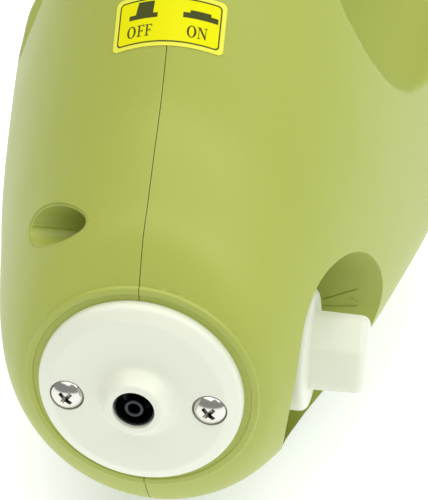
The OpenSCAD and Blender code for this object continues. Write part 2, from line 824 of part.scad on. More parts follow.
// Screw places on the guard's outside, local Z pointing out
module guard_screw_places() {
    for (a = LUG_ANGLES, s = [-1, 1]) translate([0, tine_y, drive_z]) rotate([a, 0, 0])
        translate([s * 5, guard_in + guard_t, 0]) rotate([-90, 0, 0]) children();
}

module guard_screws() {
    color("silver") from_tail() guard_screw_places() pan_screw(10, screw_shank, 3);
}

module rest_foot() {
    color("black") from_tail() difference() {
        hull()
            for (x = [-1, 1], y = [-1, 1]) {
                translate([x * 11, 72 + y * 16, -axis_h]) cylinder(r1 = 5.4, r2 = 6, h = 2, $fn = 32);
                translate([x * 8, 72 + y * 12, 2 - belly_d]) cylinder(r = 4, h = 1, $fn = 32);
            }
        body_form(-air, 7, 12);
    }
}

left_shell();
right_shell();
shell_screws();
tail_plate();
tail_plate_screws();
charge_socket();
socket_pin();
socket_terminals();
label();
push_button();
button_bezel();
latch_switch();
switch_plunger();
selector_knob();
selector_shaft();
selector_switch();
selector_nut();
cell_left();
cell_right();
cell_top();
cell_holder_rear();
cell_holder_front();
cell_links();
control_board();
board_parts();
motor_case();
motor_end_cap();
motor_magnets();
motor_rotor();
motor_shaft();
sun_gear();
ring_gear();
planet_gear_1();
planet_gear_2();
planet_gear_3();
planet_carrier();
carrier_bush();
drive_pinion();
crown_gear();
gear_case_left();
gear_case_right();
gear_case_screws();
shaft_bush_left();
shaft_bush_right();
shaft_seal_left();
shaft_seal_right();
tine_shaft();
tine_wheel_1();
tine_wheel_2();
tine_wheel_3();
tine_wheel_4();
wheel_spacers();
shaft_clips();
tine_guard();
guard_screws();
rest_foot();
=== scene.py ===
import math

import bmesh
import bpy
import numpy as np
from mathutils import Matrix, Vector


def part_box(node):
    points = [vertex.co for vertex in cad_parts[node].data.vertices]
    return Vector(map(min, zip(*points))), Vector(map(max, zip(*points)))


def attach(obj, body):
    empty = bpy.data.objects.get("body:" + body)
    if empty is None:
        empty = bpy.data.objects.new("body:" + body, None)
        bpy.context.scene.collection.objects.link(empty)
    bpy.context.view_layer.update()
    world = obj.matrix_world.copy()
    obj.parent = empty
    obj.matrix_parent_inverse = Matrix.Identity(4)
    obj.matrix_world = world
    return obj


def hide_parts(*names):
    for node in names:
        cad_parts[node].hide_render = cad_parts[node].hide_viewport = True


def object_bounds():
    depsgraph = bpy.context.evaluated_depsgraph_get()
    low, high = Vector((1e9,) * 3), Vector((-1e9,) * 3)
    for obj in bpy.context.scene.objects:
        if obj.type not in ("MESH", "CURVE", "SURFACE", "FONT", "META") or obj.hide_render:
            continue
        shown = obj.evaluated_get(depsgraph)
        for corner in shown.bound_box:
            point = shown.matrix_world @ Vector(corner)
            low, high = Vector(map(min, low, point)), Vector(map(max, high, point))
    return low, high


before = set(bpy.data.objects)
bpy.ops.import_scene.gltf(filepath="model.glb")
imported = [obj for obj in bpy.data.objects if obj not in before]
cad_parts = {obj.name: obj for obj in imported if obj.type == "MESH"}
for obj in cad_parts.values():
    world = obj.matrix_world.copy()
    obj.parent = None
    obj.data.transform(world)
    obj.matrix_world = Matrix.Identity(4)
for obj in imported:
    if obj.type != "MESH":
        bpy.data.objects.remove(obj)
cad_low, cad_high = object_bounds()

# ---------- camera ----------
# The machine is seen from behind and above, a little from its knob side.
# Lengths in this script are millimetres, counted forward (y) from the tail
# collar, up (z) from the barrel's axis and right (x) of the middle plane.

MM = 0.001
COLLAR = Vector((0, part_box("left_shell")[0].y, sum(c.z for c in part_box("tail_plate")) / 2))


def at(x, y, z):
    """A point given from the tail collar, as a point of the frame."""
    return COLLAR + Vector((x, y, z)) * MM


AZIMUTH, ELEVATION, ROLL = (math.radians(a) for a in (11.18, 32.05, 0.46))
CAMERA_BACK, CAMERA_SIDE, CAMERA_RISE = 400, 12.39, 23.67
back = Vector((math.sin(AZIMUTH) * math.cos(ELEVATION),
               -math.cos(AZIMUTH) * math.cos(ELEVATION), math.sin(ELEVATION)))
level = Vector((math.cos(AZIMUTH), math.sin(AZIMUTH), 0))
rise = back.cross(level)
right = level * math.cos(ROLL) - rise * math.sin(ROLL)
up = level * math.sin(ROLL) + rise * math.cos(ROLL)
stand = back * CAMERA_BACK + right * CAMERA_SIDE + up * CAMERA_RISE

camera = bpy.data.objects.new("camera", bpy.data.cameras.new("camera"))
bpy.context.scene.collection.objects.link(camera)
camera.matrix_world = Matrix.Translation(at(*stand)) @ Matrix((right, up, back)).transposed().to_4x4()
camera.data.sensor_width = 36
camera.data.lens = 167.33
camera.data.clip_start = 0.02
camera.data.clip_end = 20
bpy.context.scene.camera = camera

# ---------- floor and light ----------
# A white table under one broad overhead soft box, with a softer box at the knob
# side, as in a product studio's light tent.

bpy.context.scene.view_settings.view_transform = "Standard"


def linear(hex_colour):
    """An sRGB colour such as "#aabbcc" as linear RGBA."""
    parts = [int(hex_colour[i:i + 2], 16) / 255 for i in (1, 3, 5)]
    return [c / 12.92 if c < 0.04045 else ((c + 0.055) / 1.055) ** 2.4 for c in parts] + [1.0]


def add(tree, kind, links=(), **settings):
    """A node of a kind, with settings on it or its sockets, and links into its sockets by name."""
    node = tree.nodes.new(kind)
    for name, value in settings.items():
        if hasattr(node, name):
            setattr(node, name, value)
        else:
            node.inputs[name.replace("_", " ")].default_value = value
    for socket, source in dict(links).items():
        tree.links.new(source, node.inputs[socket])
    return node


def new_material(name):
    """A material with an empty tree, and its shader and output joined."""
    material = bpy.data.materials.new(name)
    material.use_nodes = True
    material.node_tree.nodes.clear()
    shader = add(material.node_tree, "ShaderNodeBsdfPrincipled")
    add(material.node_tree, "ShaderNodeOutputMaterial", {"Surface": shader.outputs["BSDF"]})
    return material, material.node_tree, shader


# The floor and the soft boxes are placed in metres of the frame
FLOOR_HALF, FLOOR_GAP = 3.0, 0.0002
floor_mesh = bpy.data.meshes.new("floor")
floor_mesh.from_pydata([(x * FLOOR_HALF, y * FLOOR_HALF, cad_low.z - FLOOR_GAP)
                        for x, y in ((-1, -1), (1, -1), (1, 1), (-1, 1))], [], [(0, 1, 2, 3)])
floor = bpy.data.objects.new("floor", floor_mesh)
bpy.context.scene.collection.objects.link(floor)
# Matt white card. It glows faintly and a little cool, against the green that the machine casts on it.
floor_paint, _, floor_shader = new_material("matt_white_sweep")
floor_shader.inputs["Base Color"].default_value = linear("#fbfbfb")
floor_shader.inputs["Roughness"].default_value = 0.9
floor_shader.inputs["Specular IOR Level"].default_value = 0.1
floor_shader.inputs["Emission Color"].default_value = linear("#e9eeff")
floor_shader.inputs["Emission Strength"].default_value = 0.42
floor_mesh.materials.append(floor_paint)

surround = bpy.data.worlds.new("bright_surround")
bpy.context.scene.world = surround
surround.use_nodes = True
surround.node_tree.nodes["Background"].inputs["Color"].default_value = linear("#fdfdfb")
surround.node_tree.nodes["Background"].inputs["Strength"].default_value = 0.37


def soft_box(name, place, aim, size, power, tint):
    """A square soft box at a place, turned to what it lights."""
    light = bpy.data.lights.new(name, "AREA")
    light.shape = "SQUARE"
    light.size = size
    light.energy = power
    light.color = linear(tint)[:3]
    lamp = bpy.data.objects.new(name, light)
    bpy.context.scene.collection.objects.link(lamp)
    lamp.location = place
    lamp.rotation_euler = (Vector(aim) - Vector(place)).to_track_quat("-Z", "Y").to_euler()


soft_box("overhead_soft_box", (-0.1, -0.2, 1.25), (0, -0.05, 0.07), 1.4, 13.8, "#fffdf8")
soft_box("side_soft_box", (0.95, -0.2, 1.1), (0, -0.08, 0.06), 0.8, 8.0, "#fafcff")

# ---------- clamshell ----------
# Two mirrored ABS mouldings that make the barrel and the closed D-handle.
# The skin is 2.6 mm thick with a fine spark-eroded grain, and the halves meet
# on the middle plane, where a hairline seam shows.

WALL = 2.6
COLLAR_R = 20.4
NOSE_R = 26.6
NOSE_DROP = 3
SHELL_LEN = 168
# Forward of the collar: half width, top and bottom of the barrel's section
BARREL = [(0, COLLAR_R, COLLAR_R, COLLAR_R), (1.2, 22.4, 23.2, 23), (4, 24.6, 28.1, 27),
          (8, 26.8, 32.4, 29.8), (14, 29, 39.1, 31.6), (20, 30.8, 45.6, 32.5), (26, 32.4, 54.3, 33),
          (34, 34.4, 66, 33), (44, 37, 79, 33), (58, 39.9, 91, 33), (75, 43, 98.5, 33),
          (95, 45.5, 100, 33), (115, 43.5, 93, 33), (132, 40, 78, 32.5), (148, 34, 54, 31.5),
          (160, 29, 34, 30.5), (SHELL_LEN, NOSE_R, NOSE_R - NOSE_DROP, NOSE_R + NOSE_DROP)]
# Clamshell screws: forward of the collar, height
SHELL_SCREWS = [(11.2, 24), (62, -25.5), (146, 27), (146, -24), (41, 61), (124, 76)]
RECESS_R, RECESS_FLOOR, SCREW_HOLE, RIDGE_ANGLE = 4.2, 7, 1.6, 281
OVAL, OVAL_LEAN, RIM_WIDE, RIM_DEEP = (3.5, 5.0), math.radians(47), 0.5, 0.25
HAND_Y, HAND_Z, HAND_LEN, HAND_R, DISH_R, DISH_X = 76, 57, 27, 20, 31.5, 36
KNOB_Y, KNOB_Z, POCKET_X, POCKET_R = 23.5, -4.7, 21.5, 18.3
BUTTON_Y, BUTTON_TILT, BUTTON_R = 42, math.radians(52), 7.5
PLATE_SCREW_X, PLATE_SCREW_Z, PLATE_POST_R = 12.5, -0.8, 3.4
POST_R, RECESS_WALL, BUTTON_SEAT = 3.6, 2, 3.6
SADDLES, SADDLE_T = (122, 152), 2.4
RIDGE_TALL, RIDGE_SPREAD = 0.28, 0.05
SEAM = 0.07


def easy_curve(xs, ys):
    """A smooth line through points that never overshoots between them."""
    xs, ys = np.array(xs, float), np.array(ys, float)
    step = np.diff(xs)
    rate = np.diff(ys) / step
    slope = np.zeros(len(xs))
    same = rate[1:] * rate[:-1] > 0
    a, b = 2 * step[1:] + step[:-1], step[1:] + 2 * step[:-1]
    safe = np.where(same, rate[1:] * rate[:-1], 1)
    slope[1:-1] = np.where(same, (a + b) * safe / (a * rate[1:] + b * rate[:-1] + ~same), 0)
    slope[0], slope[-1] = rate[0], rate[-1]

    def read(x):
        x = np.clip(x, xs[0], xs[-1])
        i = np.clip(np.searchsorted(xs, x) - 1, 0, len(xs) - 2)
        t = (x - xs[i]) / step[i]
        return (ys[i] * (1 + 2 * t) * (1 - t) ** 2 + ys[i + 1] * (3 - 2 * t) * t ** 2
                + step[i] * (slope[i] * t * (1 - t) ** 2 + slope[i + 1] * (t - 1) * t ** 2))

    return read


half_width, top, bottom = (easy_curve([s[0] for s in BARREL], [s[k] for s in BARREL]) for k in (1, 2, 3))


def crown_power(y):
    """How full the crown of a section is: 2 is round, less is nearer to a gable."""
    return 2 - 0.37 * (1 - np.exp(-np.maximum(y, 0) / 5)) * (1 - np.maximum(y - 150, 0) / 18)


def new_piece(name, points, faces, place=None):
    """A closed mesh piece from millimetre points, with doubles merged and faces turned out."""
    mesh = bpy.data.meshes.new(name)
    mesh.from_pydata([tuple(p) for p in points], [], faces)
    mesh.transform((place or Matrix.Translation(COLLAR)) @ Matrix.Scale(MM, 4))
    tidy = bmesh.new()
    tidy.from_mesh(mesh)
    bmesh.ops.remove_doubles(tidy, verts=tidy.verts, dist=1e-6)
    bmesh.ops.recalc_face_normals(tidy, faces=tidy.faces)
    tidy.to_mesh(mesh)
    tidy.free()
    piece = bpy.data.objects.new(name, mesh)
    bpy.context.scene.collection.objects.link(piece)
    return piece


def settle(piece):
    """Makes a piece's modifiers part of its mesh."""
    graph = bpy.context.evaluated_depsgraph_get()
    mesh = bpy.data.meshes.new_from_object(piece.evaluated_get(graph))
    piece.modifiers.clear()
    piece.data = mesh
    return piece


def carve(piece, *tools, how="DIFFERENCE"):
    """Cuts tools out of a piece, or joins them to it, one after another."""
    for tool in tools:
        work = piece.modifiers.new("carve", "BOOLEAN")
        work.operation, work.solver, work.object = how, "MANIFOLD", tool
        settle(piece)
        bpy.data.objects.remove(tool)
    return piece


def loft(name, rings, place=None):
    """A closed solid through rings of equally many points."""
    count = len(rings[0])
    faces = [(k * count + i, k * count + (i + 1) % count,
              (k + 1) * count + (i + 1) % count, (k + 1) * count + i)
             for k in range(len(rings) - 1) for i in range(count)]
    faces += [tuple(reversed(range(count))), tuple(range((len(rings) - 1) * count, len(rings) * count))]
    return new_piece(name, [p for ring in rings for p in ring], faces, place)


def body_solid(name, inset, first, last, spacing, sides):
    """The barrel and handle as one solid, drawn in all over by inset."""
    rings = []
    for y in np.linspace(first, last, int((last - first) / spacing) + 1):
        w, t, b = half_width(y) - inset, top(y) - 1.25 * inset, bottom(y) - inset
        a = np.arange(sides) * 2 * np.pi / sides
        c, s, p = np.cos(a), np.sin(a), 2 / crown_power(y)
        upper = s >= 0
        x = np.where(upper, w * np.sign(c) * np.abs(c) ** p, w * c)
        z = np.where(upper, t * np.abs(s) ** p, b * s)
        rings.append(np.stack([x, np.full(sides, y), z], 1))
    return loft(name, rings)


def hand_solid(name, grow, side):
    """One side of the flared finger opening, a lengthened round that widens outwards."""
    rings = []
    for x in [0, 3, 6, *range(8, 61, 2)]:
        flare = min(max((x - 6) / (DISH_X - 6), 0), 1)
        r = HAND_R + (DISH_R - HAND_R) * flare ** 1.15 + grow
        arc = np.linspace(-np.pi / 2, np.pi / 2, 49)
        y = np.concatenate([HAND_Y + HAND_LEN + r * np.cos(arc), HAND_Y - r * np.cos(arc)])
        z = np.concatenate([HAND_Z + r * np.sin(arc), HAND_Z - r * np.sin(arc)])
        rings.append(np.stack([np.full(98, side * x), y, z], 1))
    return loft(name, rings)


def rod(name, r, place, length, sides=64):
    """A plain round cutter or post that rises along local Z."""
    a = np.arange(sides) * 2 * np.pi / sides
    ring = np.stack([r * np.cos(a), r * np.sin(a), np.zeros(sides)], 1)
    return loft(name, [ring, ring + [0, 0, length]], place)


def block(name, low, high, place=None):
    """A plain box between two corners, as a cutter."""
    ring = [(low[0], low[1]), (high[0], low[1]), (high[0], high[1]), (low[0], high[1])]
    return loft(name, [[(x, y, z) for x, y in ring] for z in (low[2], high[2])], place)


def facing(axis, point):
    """Turns local Z to an axis, with its foot at a point given from the tail collar."""
    turn = Vector(axis).to_track_quat("Z", "Y").to_matrix().to_4x4()
    return Matrix.Translation(at(*point)) @ turn


def on_slope(height=0):
    """The push button's place: local Z points out of the handle's rear slope."""
    out = Vector((0, -math.sin(BUTTON_TILT), math.cos(BUTTON_TILT)))
    foot = Vector((0, BUTTON_Y, float(top(BUTTON_Y)))) + out * height
    return Matrix.Translation(at(*foot)) @ Matrix.Rotation(BUTTON_TILT, 4, "X")


def join_hand(name, grow):
    """Both sides of the finger opening as one cutter."""
    return carve(hand_solid(name, grow, 1), hand_solid(name + "_left", grow, -1), how="UNION")


def soften(piece, voxel, rounds):
    """Remeshes a piece evenly and eases its edges, as a mould's rounded corners do."""
    even = piece.modifiers.new("even", "REMESH")
    even.mode, even.voxel_size = "VOXEL", voxel * MM
    ease = piece.modifiers.new("ease", "SMOOTH")
    ease.factor, ease.iterations = 0.5, rounds
    return settle(piece)


def true_to_barrel(piece):
    """Puts the skin's points back on the barrel's own surface, except where an edge is eased."""
    mesh = piece.data
    co, normal = (np.zeros(len(mesh.vertices) * 3) for _ in range(2))
    mesh.vertices.foreach_get("co", co)
    mesh.vertices.foreach_get("normal", normal)
    p = co.reshape(-1, 3) / MM - np.array(COLLAR) / MM
    normal = normal.reshape(-1, 3)
    x, y, z = p.T
    upper = z >= 0
    n = np.where(upper, crown_power(y), 2)
    w, h = half_width(y), np.where(upper, top(y), bottom(y))
    level_of = (np.abs(x) / w) ** n + (np.abs(z) / h) ** n
    scale = level_of ** (-1 / n)
    out = np.stack([np.sign(x) * (np.abs(x) / w) ** (n - 1) / w, np.zeros(len(x)),
                    np.sign(z) * (np.abs(z) / h) ** (n - 1) / h], 1)
    out /= np.linalg.norm(out, axis=1)[:, None] + 1e-9
    across = np.hypot(normal[:, 0], normal[:, 2]) + 1e-9
    match = (normal[:, 0] * out[:, 0] + normal[:, 2] * out[:, 2]) / across
    gap = np.abs(scale - 1) * np.hypot(x, z)
    # a point is held only near the surface and where its skin faces as the barrel's does
    far, aligned, flank = 1.2, 0.9, 0.35
    hold = (np.clip((far - gap) / 0.7, 0, 1) * np.clip((match - aligned) / 0.08, 0, 1)
            * np.clip((across - flank) / 0.3, 0, 1))
    p[:, 0] *= 1 + hold * (scale - 1)
    p[:, 2] *= 1 + hold * (scale - 1)
    mesh.vertices.foreach_set("co", ((p + np.array(COLLAR) / MM) * MM).ravel())
    mesh.update()


def turned(name, outline, place, sides=128):
    """A solid of revolution about local Z from a closed outline of (radius, height)."""
    a = np.arange(sides) * 2 * np.pi / sides
    points = [(r * math.cos(t), r * math.sin(t), h) for r, h in outline for t in a]
    count = len(outline)
    faces = [(k * sides + i, k * sides + (i + 1) % sides,
              (k + 1) % count * sides + (i + 1) % sides, (k + 1) % count * sides + i)
             for k in range(count) for i in range(sides)
             if outline[k][0] > 1e-6 or outline[(k + 1) % count][0] > 1e-6]
    piece = new_piece(name, points, faces, place)
    tidy = bmesh.new()
    tidy.from_mesh(piece.data)
    bmesh.ops.dissolve_degenerate(tidy, edges=tidy.edges, dist=1e-7)
    bmesh.ops.recalc_face_normals(tidy, faces=tidy.faces)
    tidy.to_mesh(piece.data)
    tidy.free()
    return piece


def rounded(corners):
    """An outline whose corners (a, b, radius) are eased with short arcs."""
    outline = []
    for i, (a, b, r) in enumerate(corners):
        corner = Vector((a, b))
        before = Vector(corners[i - 1][:2]) - corner
        after = Vector(corners[(i + 1) % len(corners)][:2]) - corner
        if r == 0:
            outline.append(tuple(corner))
            continue
        half = before.angle(after) / 2
        reach = min(r / math.tan(half), before.length * 0.49, after.length * 0.49)
        start, end = corner + before.normalized() * reach, corner + after.normalized() * reach
        for k in range(7):
            t = k / 6
            outline.append(tuple(start * (1 - t) ** 2 + corner * 2 * t * (1 - t) + end * t ** 2))
    return outline


def finish_piece(piece, body, slot, material, *stands_for, angle=35):
    """Gives a finished piece its material, smooth shading and place in the machine."""
    piece.data.materials.clear()
    piece.data.materials.append(material)
    piece.data.shade_smooth()
    piece.data.set_sharp_from_angle(angle=math.radians(angle))
    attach(piece, body)
    if stands_for:
        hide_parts(*stands_for)
    return piece


def moulded_plastic(name, colour, shade, roughness, grain, relief, specular=0.5, sheen=0.0):
    """A moulded plastic: faint streaks of shade, and a fine eroded grain `grain` mm across."""
    material, tree, shader = new_material(name)
    place = add(tree, "ShaderNodeTexCoord").outputs["Object"]
    cloud = add(tree, "ShaderNodeTexNoise", {"Vector": place}, Scale=1 / (45 * MM), Detail=3.0)
    mix = add(tree, "ShaderNodeMix", data_type="RGBA")
    mix.inputs["A"].default_value = linear(colour)
    mix.inputs["B"].default_value = linear(shade)
    tree.links.new(cloud.outputs["Fac"], mix.inputs["Factor"])
    tree.links.new(mix.outputs["Result"], shader.inputs["Base Color"])
    pits = add(tree, "ShaderNodeTexNoise", {"Vector": place}, Scale=1 / (grain * MM), Detail=2.0)
    gloss = add(tree, "ShaderNodeMapRange", {"Value": pits.outputs["Fac"]},
                To_Min=roughness - 0.05, To_Max=roughness + 0.05)
    tree.links.new(gloss.outputs["Result"], shader.inputs["Roughness"])
    bump = add(tree, "ShaderNodeBump", {"Height": pits.outputs["Fac"]},
               Strength=relief, Distance=0.05 * MM)
    tree.links.new(bump.outputs["Normal"], shader.inputs["Normal"])
    shader.inputs["Specular IOR Level"].default_value = specular
    shader.inputs["Sheen Weight"].default_value = sheen
    shader.inputs["Sheen Roughness"].default_value = 0.45
    return material


# ABS in a pale olive green, from a spark-eroded mould: dull, with a fine even grain.
# The real grain is about 0.15 mm and is drawn a little coarser so that it shows.
green_abs = moulded_plastic("olive_green_moulded_abs", "#a4ae4a", "#9fa945", 0.5, 0.35, 0.6, sheen=0.12)


def recess_cutter(y, z, grow=0.0):
    """A screw recess with a fine ridge where two mould pins met. The one by the collar is an oval."""
    wide, tall = OVAL if y < 20 else (RECESS_R, RECESS_R)
    a = np.arange(120) * 2 * np.pi / 120
    ridge = 0 if grow else RIDGE_TALL * np.exp(-((a - math.radians(RIDGE_ANGLE)) / RIDGE_SPREAD) ** 2)
    u, v = (wide + grow - ridge) * np.cos(a), (tall + grow - ridge) * np.sin(a)
    c, d = math.cos(OVAL_LEAN), math.sin(OVAL_LEAN)
    ring = np.stack([np.full(120, -RECESS_FLOOR), y + u * c - v * d, z + u * d + v * c], 1)
    return loft("screw_recess", [ring, ring - [70, 0, 0]])


outside = body_solid("clamshell", 0, -3, SHELL_LEN, 1.0, 200)
carve(outside, join_hand("hand_opening", 0))
seat = rod("button_seat", BUTTON_R + BUTTON_SEAT, on_slope(-6), 7.2, 128)
carve(outside, seat, how="UNION")
soften(outside, 0.7, 6)
true_to_barrel(outside)
carve(outside, rod("knob_pocket", POCKET_R, facing((1, 0, 0), (POCKET_X, KNOB_Y, KNOB_Z)), 40, 240))

inside = body_solid("hollow", WALL, 3, SHELL_LEN + 2, 3.0, 64)
carve(inside, join_hand("handle_wall", WALL),
      rod("pocket_bowl", POCKET_R + 2.2, facing((1, 0, 0), (POCKET_X - 2.2, KNOB_Y, KNOB_Z)), 40),
      rod("button_post", BUTTON_R + BUTTON_SEAT, on_slope(-6), 7.2))
for y, z in SHELL_SCREWS:
    carve(inside, rod("post", POST_R, facing((1, 0, 0), (-10, y, z)), 70, 32),
          rod("recess_post", RECESS_R + RECESS_WALL, facing((-1, 0, 0), (1.8 - RECESS_FLOOR, y, z)), 60, 48))
for x in (-PLATE_SCREW_X, PLATE_SCREW_X):
    carve(inside, rod("plate_post", PLATE_POST_R, facing((0, 1, 0), (x, 0, PLATE_SCREW_Z)), 13.5, 32))
for y in SADDLES:
    carve(inside, block("motor_saddle", (-60, y, -60), (60, y + SADDLE_T, 40)))
carve(outside, inside,
      block("behind_collar", (-60, -10, -60), (60, 0, 60)),
      rod("tail_hole", 8.2, facing((0, 1, 0), (0, -1, 0)), 5),
      rod("motor_bed", 18.1, facing((0, 1, 0), (0, 108, -NOSE_DROP)), 54),
      rod("neck_bore", 23.5, facing((0, 1, 0), (0, 158, -NOSE_DROP)), 30, 128),
      rod("button_bore", BUTTON_R + 0.6, on_slope(-9), 30, 96),
      rod("knob_shaft_hole", 3.9, facing((1, 0, 0), (10, KNOB_Y, KNOB_Z)), 30, 48))
for x in (-PLATE_SCREW_X, PLATE_SCREW_X):
    carve(outside, rod("plate_screw_hole", SCREW_HOLE,
                       facing((0, 1, 0), (x, -1, PLATE_SCREW_Z)), 13, 24))
for y, z in SHELL_SCREWS:
    carve(outside, recess_cutter(y, z),
          rod("screw_hole", SCREW_HOLE, facing((1, 0, 0), (-20, y, z)), 31, 24))

# a shallow step round each screw recess
rims = recess_cutter(*SHELL_SCREWS[0], RIM_WIDE)
carve(rims, *(recess_cutter(y, z, RIM_WIDE) for y, z in SHELL_SCREWS[1:]), how="UNION")
carve(outside, carve(rims, body_solid("under_rims", RIM_DEEP, -2, SHELL_LEN, 1.5, 120)))

# the flat ring round the tail plate, with a raised rounded rim
collar_ring = turned("collar_ring", rounded([(17.9, 1.5, 0), (17.9, -0.3, 0), (19.15, -0.3, 0.08),
                                             (19.35, -0.52, 0.12), (COLLAR_R + 0.05, -0.5, 0.3),
                                             (COLLAR_R + 0.28, 0.05, 0.2), (COLLAR_R + 0.28, 1.5, 0)]),
                     facing((0, 1, 0), (0, 0, 0)), 192)
carve(outside, collar_ring, how="UNION")

# Raised marks on the pocket's front wall. Each runs from a place right of the
# middle plane and an angle round the pocket to another, and has a width.
MARK_R = POCKET_R - 0.15
POCKET_MARKS = [(25.3, -4, 31.7, 5.6, 0.32), (25.4, -8.2, 31.7, -6, 0.22), (30.7, -0.8, 32, -4.4, 0.36)]
for x0, a0, x1, a1, wide in POCKET_MARKS:
    rings = []
    for k in range(9):
        t = k / 8
        a, x = math.radians(a0 + (a1 - a0) * t), x0 + (x1 - x0) * t
        rings.append([(x, KNOB_Y + r * math.cos(a + s * wide / 2 / MARK_R),
                       KNOB_Z + r * math.sin(a + s * wide / 2 / MARK_R))
                      for r, s in ((MARK_R, -1), (MARK_R, 1), (POCKET_R + 0.6, 1), (POCKET_R + 0.6, -1))])
    carve(outside, loft("pocket_mark", rings), how="UNION")

for side, name in ((-1, "left_shell"), (1, "right_shell")):
    half = outside.copy()
    half.data = outside.data.copy()
    half.name = "clamshell_" + name.split("_")[0]
    bpy.context.scene.collection.objects.link(half)
    low, high = ((SEAM, -20, -90), (90, 190, 160)) if side > 0 else ((-90, -20, -90), (-SEAM, 190, 160))
    carve(half, block("half_space", low, high), how="INTERSECT")
    finish_piece(half, "body", "green_shell", green_abs, name, angle=38)
bpy.data.objects.remove(outside)

# ---------- tail plate ----------
# A round cover of white ABS that closes the tail and carries the charge
# socket in a cone boss. Two screws hold it, each in a shallow counterbore.

PLATE_R, PLATE_OUT, BOSS_OUT, SOCKET_R = 18, 3.5, 7, 3.65
HEAD_R, PLATE_SEAT = 3, -2.7

# ABS, warm white, from a polished mould that has dulled: satin, with no grain to see.
white_abs = moulded_plastic("warm_white_moulded_abs", "#dfe3d1", "#dbdfcd", 0.42, 0.5, 0.08)

plate_outline = rounded([(SOCKET_R, 3, 0), (SOCKET_R, -BOSS_OUT, 0.25), (4.9, -BOSS_OUT, 0.7),
                         (7.0, -PLATE_OUT, 2.0), (15.3, -PLATE_OUT, 1.8), (PLATE_R, -2.0, 1.5),
                         (PLATE_R, 0, 0.1), (7.8, 0, 0), (7.8, 3, 0)])
tail_plate = turned("tail_plate_cover", plate_outline, facing((0, 1, 0), (0, 0, 0)), 160)
for x in (-PLATE_SCREW_X, PLATE_SCREW_X):
    carve(tail_plate, rod("shank_hole", 1.7, facing((0, 1, 0), (x, -5, PLATE_SCREW_Z)), 12, 32),
          rod("counterbore", HEAD_R + 0.06, facing((0, 1, 0), (x, -5, PLATE_SCREW_Z)), 5 + PLATE_SEAT, 64))
finish_piece(tail_plate, "body", "white_trim", white_abs, "tail_plate")

# ---------- screws ----------
# Pan-head tapping screws of 3 mm, nickel plated, with a cross recess. The
# same screw holds the shells, the tail plate, the gear case and the guard.

# Bright nickel plate: a warm grey mirror, slightly hazed in the cross.
nickel, nickel_tree, nickel_shader = new_material("bright_nickel_plate")
nickel_shader.inputs["Base Color"].default_value = linear("#cdcbc3")
nickel_shader.inputs["Metallic"].default_value = 1.0
nickel_place = add(nickel_tree, "ShaderNodeTexCoord").outputs["Object"]
nickel_haze = add(nickel_tree, "ShaderNodeTexNoise", {"Vector": nickel_place},
                  Scale=1 / (1.2 * MM), Detail=2.0)
nickel_gloss = add(nickel_tree, "ShaderNodeMapRange", {"Value": nickel_haze.outputs["Fac"]},
                   To_Min=0.12, To_Max=0.24)
nickel_tree.links.new(nickel_gloss.outputs["Result"], nickel_shader.inputs["Roughness"])


def cross_screw(name, length):
    """One pan-head screw, head up, seated at the local origin."""
    head = [(HEAD_R * math.sin(a), 0.25 + 1.75 * (1 - (1 - math.cos(a)) / (1 - math.cos(1.35))))
            for a in np.linspace(0, 1.35, 12)]
    dome = [(r * HEAD_R / head[-1][0], h) for r, h in head]
    outline = [(0, dome[0][1])] + dome[1:] + [(HEAD_R, 0.12), (HEAD_R - 0.1, 0), (1.5, 0)]
    for k in range(int(length / 1.2)):
        z = -k * 1.2 - 0.5
        outline += [(1.25, z), (1.5, z - 0.5), (1.5, z - 0.62), (1.25, z - 1.1)]
    outline += [(0, -length)]
    screw = turned(name, outline, Matrix.Identity(4), 48)
    for turn in (math.radians(45), math.radians(135)):
        ring = [(-1.75, -0.42), (1.75, -0.42), (1.75, 0.42), (-1.75, 0.42)]
        foot = [(x * 0.35, y * 0.55) for x, y in ring]
        carve(screw, loft("cross", [[(*p, 0.35) for p in foot], [(*p, 2.4) for p in ring]],
                          Matrix.Rotation(turn, 4, "Z")))
    return screw


def screw_tree():
    """Puts a screw on each seat point, turned along the seat's own axis."""
    tree = bpy.data.node_groups.new("screws_on_seats", "GeometryNodeTree")
    for label, kind in (("Geometry", "Geometry"), ("Screw", "Object"), ("Head size", "Float"),
                        ("Plating", "Material")):
        tree.interface.new_socket(label, in_out="INPUT", socket_type="NodeSocket" + kind)
    tree.interface.new_socket("Geometry", in_out="OUTPUT", socket_type="NodeSocketGeometry")
    given = add(tree, "NodeGroupInput")
    model = add(tree, "GeometryNodeObjectInfo", {"Object": given.outputs["Screw"]})
    axis = add(tree, "GeometryNodeInputNamedAttribute", data_type="FLOAT_VECTOR")
    axis.inputs["Name"].default_value = "axis"
    turn = add(tree, "FunctionNodeAlignRotationToVector", {"Vector": axis.outputs["Attribute"]}, axis="Z")
    placed = add(tree, "GeometryNodeInstanceOnPoints",
                 {"Points": given.outputs["Geometry"], "Instance": model.outputs["Geometry"],
                  "Rotation": turn.outputs["Rotation"], "Scale": given.outputs["Head size"]})
    real = add(tree, "GeometryNodeRealizeInstances", {"Geometry": placed.outputs["Instances"]})
    plated = add(tree, "GeometryNodeSetMaterial",
                 {"Geometry": real.outputs["Geometry"], "Material": given.outputs["Plating"]})
    add(tree, "NodeGroupOutput", {"Geometry": plated.outputs["Geometry"]})
    return tree


SCREWS_ON_SEATS = screw_tree()


def run_tree(piece, tree, **inputs):
    """Runs a node tree on a piece with its named inputs, and keeps the result as a plain mesh."""
    nodes = piece.modifiers.new("nodes", "NODES")
    nodes.node_group = tree
    sockets = {s.name.lower().replace(" ", "_"): s.identifier for s in tree.interface.items_tree
               if s.item_type == "SOCKET" and s.in_out == "INPUT"}
    for name, value in inputs.items():
        nodes[sockets[name]] = value
    return settle(piece)


